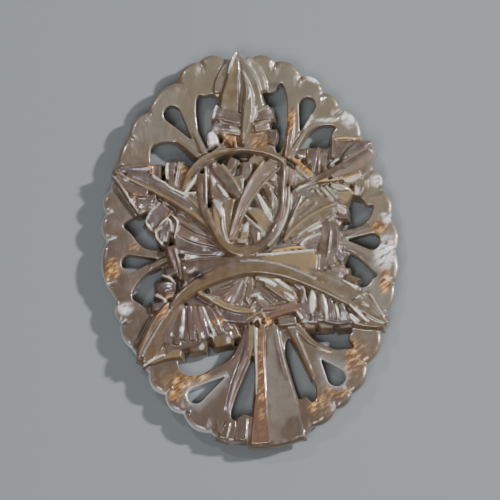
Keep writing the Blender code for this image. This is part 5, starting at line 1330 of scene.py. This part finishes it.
def facet_layers(make, colours, place, streak_place, colour):
    """Painted sheen on turned facets, the tone of each strip, faint streaks and painted shade in the
    grooves.
    """
    turned = named(make, "turned", "Vector")
    # Painted sheen: facets turned up and right go cool and lighter, those turned down and left honey and
    # darker
    for tint, direction in (("painted_cool_sheen", TO_PAINTED_COOL_SHEEN), ("painted_honey_sheen", TO_PAINTED_HONEY_SHEEN)):
        faced = ramp(make, make.vector("DOT_PRODUCT", turned, direction), tint)
        colour = over(make, colour, getattr(colours, tint), faced, tint)
    played = ramp(make, cloudy(make, place, "play"), "play")
    toned = make.math("MULTIPLY", named(make, "tone_share"), make.math("MULTIPLY_ADD", played, *TONE_PLAY))
    colour = over(make, colour, named(make, "tone", "Color"), toned)
    tinted = ramp(make, named(make, "strip_tint"), "strip tint")
    colour = over(make, colour, colours.rose_brown, tinted, "strip tint")
    streaks = ramp(make, cloudy(make, streak_place, "streaks"), "streaks")
    colour = over(make, colour, colours.silver, streaks, "streaks")
    # Painted shade: where little sky is seen, the colour darkens toward the groove colour
    groove = make.math("SUBTRACT", 1, ramp(make, named(make, "open_sky"), "open sky"))
    return over(make, colour, colours.groove, groove, "groove")


def flash_layers(make, colours, place, golden, pearl, colour):
    """Painted golden and pearly flashes, broken by the crinkled growth, then painted edge glow and stains.
    """
    turn = {"Vector": place, "Angle": math.radians(CRINKLE_TURN)}
    slanted = make.add("ShaderNodeVectorRotate", turn, rotation_type="Z_AXIS").outputs[0]
    crinkle = cloudy(make, make.vector("MULTIPLY", slanted, CRINKLE_STRETCH), "crinkle")
    # Bronze ground in the golden patches, the shell's own colour
    colour = over(make, colour, colours.bronze, golden, "bronze")
    # Painted reflections: lit gold, then painted highlight peaks in pearl
    lit, peak = (make.math("MULTIPLY", golden, ramp(make, crinkle, effect)) for effect in ("lit", "peak"))
    colour = over(make, colour, colours.gold, lit)
    colour = over(make, colour, colours.pearl, peak, "peak")
    # Painted pearly reflections, blushed rosy in places
    pearly = make.math("MULTIPLY", pearl, ramp(make, crinkle, "pearly"))
    blush = ramp(make, cloudy(make, place, "blush"), "blush")
    colour = over(make, colour, over(make, colours.pearl, colours.blush, blush), pearly)
    # Painted glow: pearl colour along the thin rim edges, standing in for light through the shell
    colour = over(make, colour, colours.pearl, named(make, "edge_glow"))
    return over(make, colour, colours.stain, ramp(make, named(make, "stain"), "stain"))


def nacre(colours):
    """Polished mother-of-pearl: champagne layers, painted facet sheen, rosy tints and painted golden
    flashes.
    """
    material = bpy.data.materials.new("nacre")
    material.use_nodes = True
    make = NodeMaker(material.node_tree)
    shader = material.node_tree.nodes["Principled BSDF"]
    place = make.add("ShaderNodeTexCoord").outputs["Object"]
    streak_place = make.vector("MULTIPLY", place, STREAK_STRETCH)
    golden, pearl = (ramp(make, named(make, flash), flash) for flash in ("gold", "pearl"))
    colour = ground_layers(make, colours, place)
    colour = facet_layers(make, colours, place, streak_place, colour)
    colour = flash_layers(make, colours, place, golden, pearl, colour)
    rough = make.math("MULTIPLY_ADD", cloudy(make, place, "wear"), *WORN_ROUGHNESS)
    bright = make.math("MAXIMUM", make.math("MULTIPLY", golden, GOLD_BRIGHTNESS), pearl)
    bright = make.math("MAXIMUM", bright, named(make, "tone_share"))
    metallic = make.math("MULTIPLY_ADD", bright, *METALLIC_FALL)
    swell, fine = cloudy(make, place, "swell"), cloudy(make, streak_place, "fine ripple")
    ripple = make.math("MULTIPLY_ADD", fine, FINE_RIPPLE_SHARE, swell)
    raised = {"Height": ripple, "Strength": RIPPLE_STRENGTH, "Distance": RIPPLE_DEPTH}
    bump = make.add("ShaderNodeBump", raised)
    worked = {"Base Color": colour, "Roughness": rough, "Metallic": metallic, "Normal": bump.outputs[0]}
    for name, value in {**NACRE_FINISH, **worked}.items():
        make.put(shader.inputs[name], value)
    return material


# Settings

class ShellSizes(bpy.types.PropertyGroup):
    plate_thickness: bpy.props.FloatProperty(
        name="Plate thickness", description="Thickness of the pierced plate",
        default=PLATE_THICKNESS * MM, min=0.0005, unit="LENGTH")
    plate_cell: bpy.props.FloatProperty(
        name="Plate cell", description="Distance between the points of the plate's surface",
        default=0.55 * MM, min=0.0002, unit="LENGTH")
    rim_round: bpy.props.FloatProperty(
        name="Rim round", description="Width of the rounding along the scalloped rim",
        default=1.1 * MM, min=0.0001, unit="LENGTH")
    rim_drop: bpy.props.FloatProperty(
        name="Rim drop", description="How far the rim rounds down",
        default=0.7 * MM, min=0.0, unit="LENGTH")
    hole_round: bpy.props.FloatProperty(
        name="Hole round", description="Width of the rounding along the sawn holes",
        default=0.22 * MM, min=0.0001, unit="LENGTH")
    hole_drop: bpy.props.FloatProperty(
        name="Hole drop", description="How far the edges of the holes round down",
        default=0.14 * MM, min=0.0, unit="LENGTH")
    groove_length: bpy.props.FloatProperty(
        name="Groove length", description="How far the grooves between the scallops run in from the rim",
        default=2.4 * MM, min=0.0, unit="LENGTH")
    groove_width: bpy.props.FloatProperty(
        name="Groove width", description="Half width of the grooves between the scallops",
        default=0.45 * MM, min=0.00005, unit="LENGTH")
    groove_depth: bpy.props.FloatProperty(
        name="Groove depth", description="Depth of the grooves at the rim",
        default=0.6 * MM, min=0.0, unit="LENGTH")
    surface_cell: bpy.props.FloatProperty(
        name="Surface cell", description="Size of the even cells that the worked surface is made of",
        default=0.13 * MM, min=0.0001, unit="LENGTH")
    softening: bpy.props.IntProperty(
        name="Softening", description="How many times the edges of the surface are eased", default=3, min=0)
    kept_faces: bpy.props.FloatProperty(
        name="Kept faces", description="Share of the faces kept where the surface is plain",
        default=0.25, min=0.05, max=1.0, subtype="FACTOR")


class ShellColours(bpy.types.PropertyGroup):
    champagne: bpy.props.FloatVectorProperty(
        name="Champagne", description="Warm colour of the plain nacre",
        default=(0.255, 0.209, 0.142), subtype="COLOR", size=3)
    silver: bpy.props.FloatVectorProperty(
        name="Silver", description="Cooler colour that clouds the plain nacre",
        default=(0.285, 0.256, 0.205), subtype="COLOR", size=3)
    # Laid on down and to the left partly as painted shade; also the tone of brown strips and strip tints
    rose_brown: bpy.props.FloatVectorProperty(
        name="Rose brown", description="Colour that the nacre takes toward the lower left",
        default=(0.12, 0.072, 0.048), subtype="COLOR", size=3)
    # Painted sheen on facets by the way they face
    painted_cool_sheen: bpy.props.FloatVectorProperty(
        name="Cool", description="Tint of facets turned to the upper right",
        default=(0.27, 0.238, 0.178), subtype="COLOR", size=3)
    painted_honey_sheen: bpy.props.FloatVectorProperty(
        name="Honey", description="Tint of facets turned to the lower left",
        default=(0.305, 0.18, 0.072), subtype="COLOR", size=3)
    cream: bpy.props.FloatVectorProperty(
        name="Cream", description="Colour of the polished raised forms",
        default=(0.31, 0.216, 0.09), subtype="COLOR", size=3)
    olive: bpy.props.FloatVectorProperty(
        name="Olive", description="Colour of the golden brown stems",
        default=(0.165, 0.105, 0.034), subtype="COLOR", size=3)
    umber: bpy.props.FloatVectorProperty(
        name="Umber", description="Colour of the dark bands beside the stems",
        default=(0.102, 0.058, 0.023), subtype="COLOR", size=3)
    # Painted highlights on the brightest facets and ridges
    painted_highlight_ivory: bpy.props.FloatVectorProperty(
        name="Ivory", description="Colour of the brightest facets and ridges",
        default=(0.92, 0.86, 0.75), subtype="COLOR", size=3)
    bronze: bpy.props.FloatVectorProperty(
        name="Bronze", description="Colour of the golden brown band of the ribbon",
        default=(0.205, 0.1, 0.045), subtype="COLOR", size=3)
    rose: bpy.props.FloatVectorProperty(
        name="Rose", description="Colour of the coppery facets",
        default=(0.25, 0.15, 0.1), subtype="COLOR", size=3)
    dusk: bpy.props.FloatVectorProperty(
        name="Dusk", description="Colour of the facets in shade",
        default=(0.105, 0.066, 0.05), subtype="COLOR", size=3)
    # Painted golden reflections
    gold: bpy.props.FloatVectorProperty(
        name="Gold", description="Colour of the golden flashes",
        default=(0.95, 0.54, 0.15), subtype="COLOR", size=3)
    # Painted reflections, highlights and glow are laid on in this colour
    pearl: bpy.props.FloatVectorProperty(
        name="Pearl", description="Colour of the bluish white flashes",
        default=(0.95, 0.98, 1.0), subtype="COLOR", size=3)
    blush: bpy.props.FloatVectorProperty(
        name="Blush", description="Rosy colour that plays in the pearly flashes",
        default=(0.98, 0.76, 0.68), subtype="COLOR", size=3)
    # Painted shade laid into grooves and crevices that see little sky
    groove: bpy.props.FloatVectorProperty(
        name="Groove", description="Colour deep in the grooves",
        default=(0.095, 0.058, 0.034), subtype="COLOR", size=3)
    stain: bpy.props.FloatVectorProperty(
        name="Stain", description="Colour of the dark stains",
        default=(0.04, 0.018, 0.01), subtype="COLOR", size=3)


class StageSettings(bpy.types.PropertyGroup):
    floor_colour: bpy.props.FloatVectorProperty(
        name="Floor", description="Colour of the floor",
        default=(0.25, 0.275, 0.29), subtype="COLOR", size=3)
    lens: bpy.props.FloatProperty(
        name="Lens", description="Focal length of the camera in millimetres", default=300, min=20)
    view_width: bpy.props.FloatProperty(
        name="View width", description="Width of the view at the carving", default=0.07295, unit="LENGTH")
    view_height_angle: bpy.props.FloatProperty(
        name="View angle", description="How far the camera stands above the floor, as an angle",
        default=math.radians(76), subtype="ANGLE")


# Operators

class SHELL_OT_carving(bpy.types.Operator):
    """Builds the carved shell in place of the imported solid"""
    bl_idname = "shell_carving.carving"
    bl_label = "Carved shell"

    def execute(self, context):
        sizes = context.scene.shell_sizes
        colours = context.scene.shell_colours
        material = nacre(colours)
        plate = bpy.data.objects.new("plate_and_strips", plate_mesh(sizes))
        rails = bpy.data.objects.new("strip_rails", rails_mesh(colours))
        for made in (plate, rails):
            context.scene.collection.objects.link(made)
        sweep = plate.modifiers.new("Carved strips", "NODES")
        sweep.node_group = carving_tree()
        set_inputs(sweep, {"Rails": rails, "Nacre": material})
        exact = as_mesh(context, plate)
        piece = bpy.data.objects.new("carved_mother_of_pearl", exact)
        context.scene.collection.objects.link(piece)
        evened = piece.modifiers.new("Evened surface", "REMESH")
        evened.mode = "VOXEL"
        evened.voxel_size = sizes.surface_cell
        softened = piece.modifiers.new("Softened edges", "SMOOTH")
        softened.factor = SOFTENING_FACTOR
        softened.iterations = sizes.softening
        thinned = piece.modifiers.new("Fewer faces", "DECIMATE")
        thinned.ratio = sizes.kept_faces
        marks = piece.modifiers.new("Marks of the strips", "NODES")
        marks.node_group = surface_tree()
        set_inputs(marks, {"Strips": plate, "Nacre": material})
        carved = as_mesh(context, piece)
        piece.modifiers.clear()
        piece.data = carved
        mark_spots(carved)
        for made in (plate, rails):
            bpy.data.objects.remove(made)
        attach(piece, "root")
        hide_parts("carved_shell")
        return {"FINISHED"}


class SHELL_OT_stage(bpy.types.Operator):
    """Adds the floor, the soft lights and the camera"""
    bl_idname = "shell_carving.stage"
    bl_label = "Stage"

    def execute(self, context):
        stage = context.scene.shell_stage
        add_floor(stage)
        add_lights()
        add_camera(stage)
        return {"FINISHED"}


def add_floor(stage):
    """A wide plain floor that the carving lies on."""
    work = bmesh.new()
    bmesh.ops.create_grid(work, x_segments=1, y_segments=1, size=FLOOR_HALF_WIDTH)
    mesh = bpy.data.meshes.new("floor")
    work.to_mesh(mesh)
    work.free()
    floor = bpy.data.objects.new("floor", mesh)
    floor.location.z = CAD_BOX[0][2]
    bpy.context.scene.collection.objects.link(floor)
    paint = bpy.data.materials.new("floor paint")
    paint.use_nodes = True
    shader = paint.node_tree.nodes["Principled BSDF"]
    shader.inputs["Base Color"].default_value = (*stage.floor_colour, 1)
    shader.inputs["Roughness"].default_value = FLOOR_ROUGHNESS
    mesh.materials.append(paint)


def add_lights():
    """A key light from the upper right, a wide fill, a weak glint from the upper left, a dim surround."""
    for name, place, size, power in LIGHTS:
        lamp = bpy.data.lights.new(name, "AREA")
        lamp.shape = "DISK"
        lamp.size = size
        lamp.energy = power
        light = bpy.data.objects.new(name, lamp)
        light.location = place
        light.rotation_euler = (-light.location).to_track_quat("-Z", "Y").to_euler()
        bpy.context.scene.collection.objects.link(light)
    world = bpy.data.worlds.new("soft surround")
    bpy.context.scene.world = world
    world.use_nodes = True
    background = world.node_tree.nodes["Background"]
    background.inputs["Color"].default_value = SURROUND_COLOUR
    background.inputs["Strength"].default_value = SURROUND_STRENGTH


def add_camera(stage):
    """The camera looks down on the carving from its lower side."""
    camera_data = bpy.data.cameras.new("camera")
    camera_data.lens = stage.lens
    camera_data.sensor_width = SENSOR_WIDTH
    camera_data.clip_start = CLIP_START
    camera = bpy.data.objects.new("camera", camera_data)
    distance = stage.view_width * stage.lens / SENSOR_WIDTH
    lean = math.pi / 2 - stage.view_height_angle
    camera.location = Vector(CAMERA_AIM) + distance * Vector((0, -math.sin(lean), math.cos(lean)))
    camera.rotation_euler = (lean, 0, 0)
    bpy.context.scene.collection.objects.link(camera)
    bpy.context.scene.camera = camera


class SHELL_PT_panel(bpy.types.Panel):
    """Sizes, colours and steps of the carving"""
    bl_idname = "SHELL_PT_panel"
    bl_label = "Shell carving"
    bl_space_type = "VIEW_3D"
    bl_region_type = "UI"
    bl_category = "Shell carving"

    def draw(self, context):
        for settings in (context.scene.shell_sizes, context.scene.shell_colours, context.scene.shell_stage):
            column = self.layout.column()
            for name in settings.__annotations__:
                column.prop(settings, name)
        self.layout.operator(SHELL_OT_carving.bl_idname)
        self.layout.operator(SHELL_OT_stage.bl_idname)


CLASSES = (ShellSizes, ShellColours, StageSettings, SHELL_OT_carving, SHELL_OT_stage, SHELL_PT_panel)
SETTINGS = {"shell_sizes": ShellSizes, "shell_colours": ShellColours, "shell_stage": StageSettings}


def register():
    for cls in CLASSES:
        bpy.utils.register_class(cls)
    for name, cls in SETTINGS.items():
        setattr(bpy.types.Scene, name, bpy.props.PointerProperty(type=cls))


def unregister():
    for name in SETTINGS:
        delattr(bpy.types.Scene, name)
    for cls in reversed(CLASSES):
        bpy.utils.unregister_class(cls)


def main():
    register()
    bpy.ops.shell_carving.carving()
    bpy.ops.shell_carving.stage()


if __name__ == "__main__":
    main()
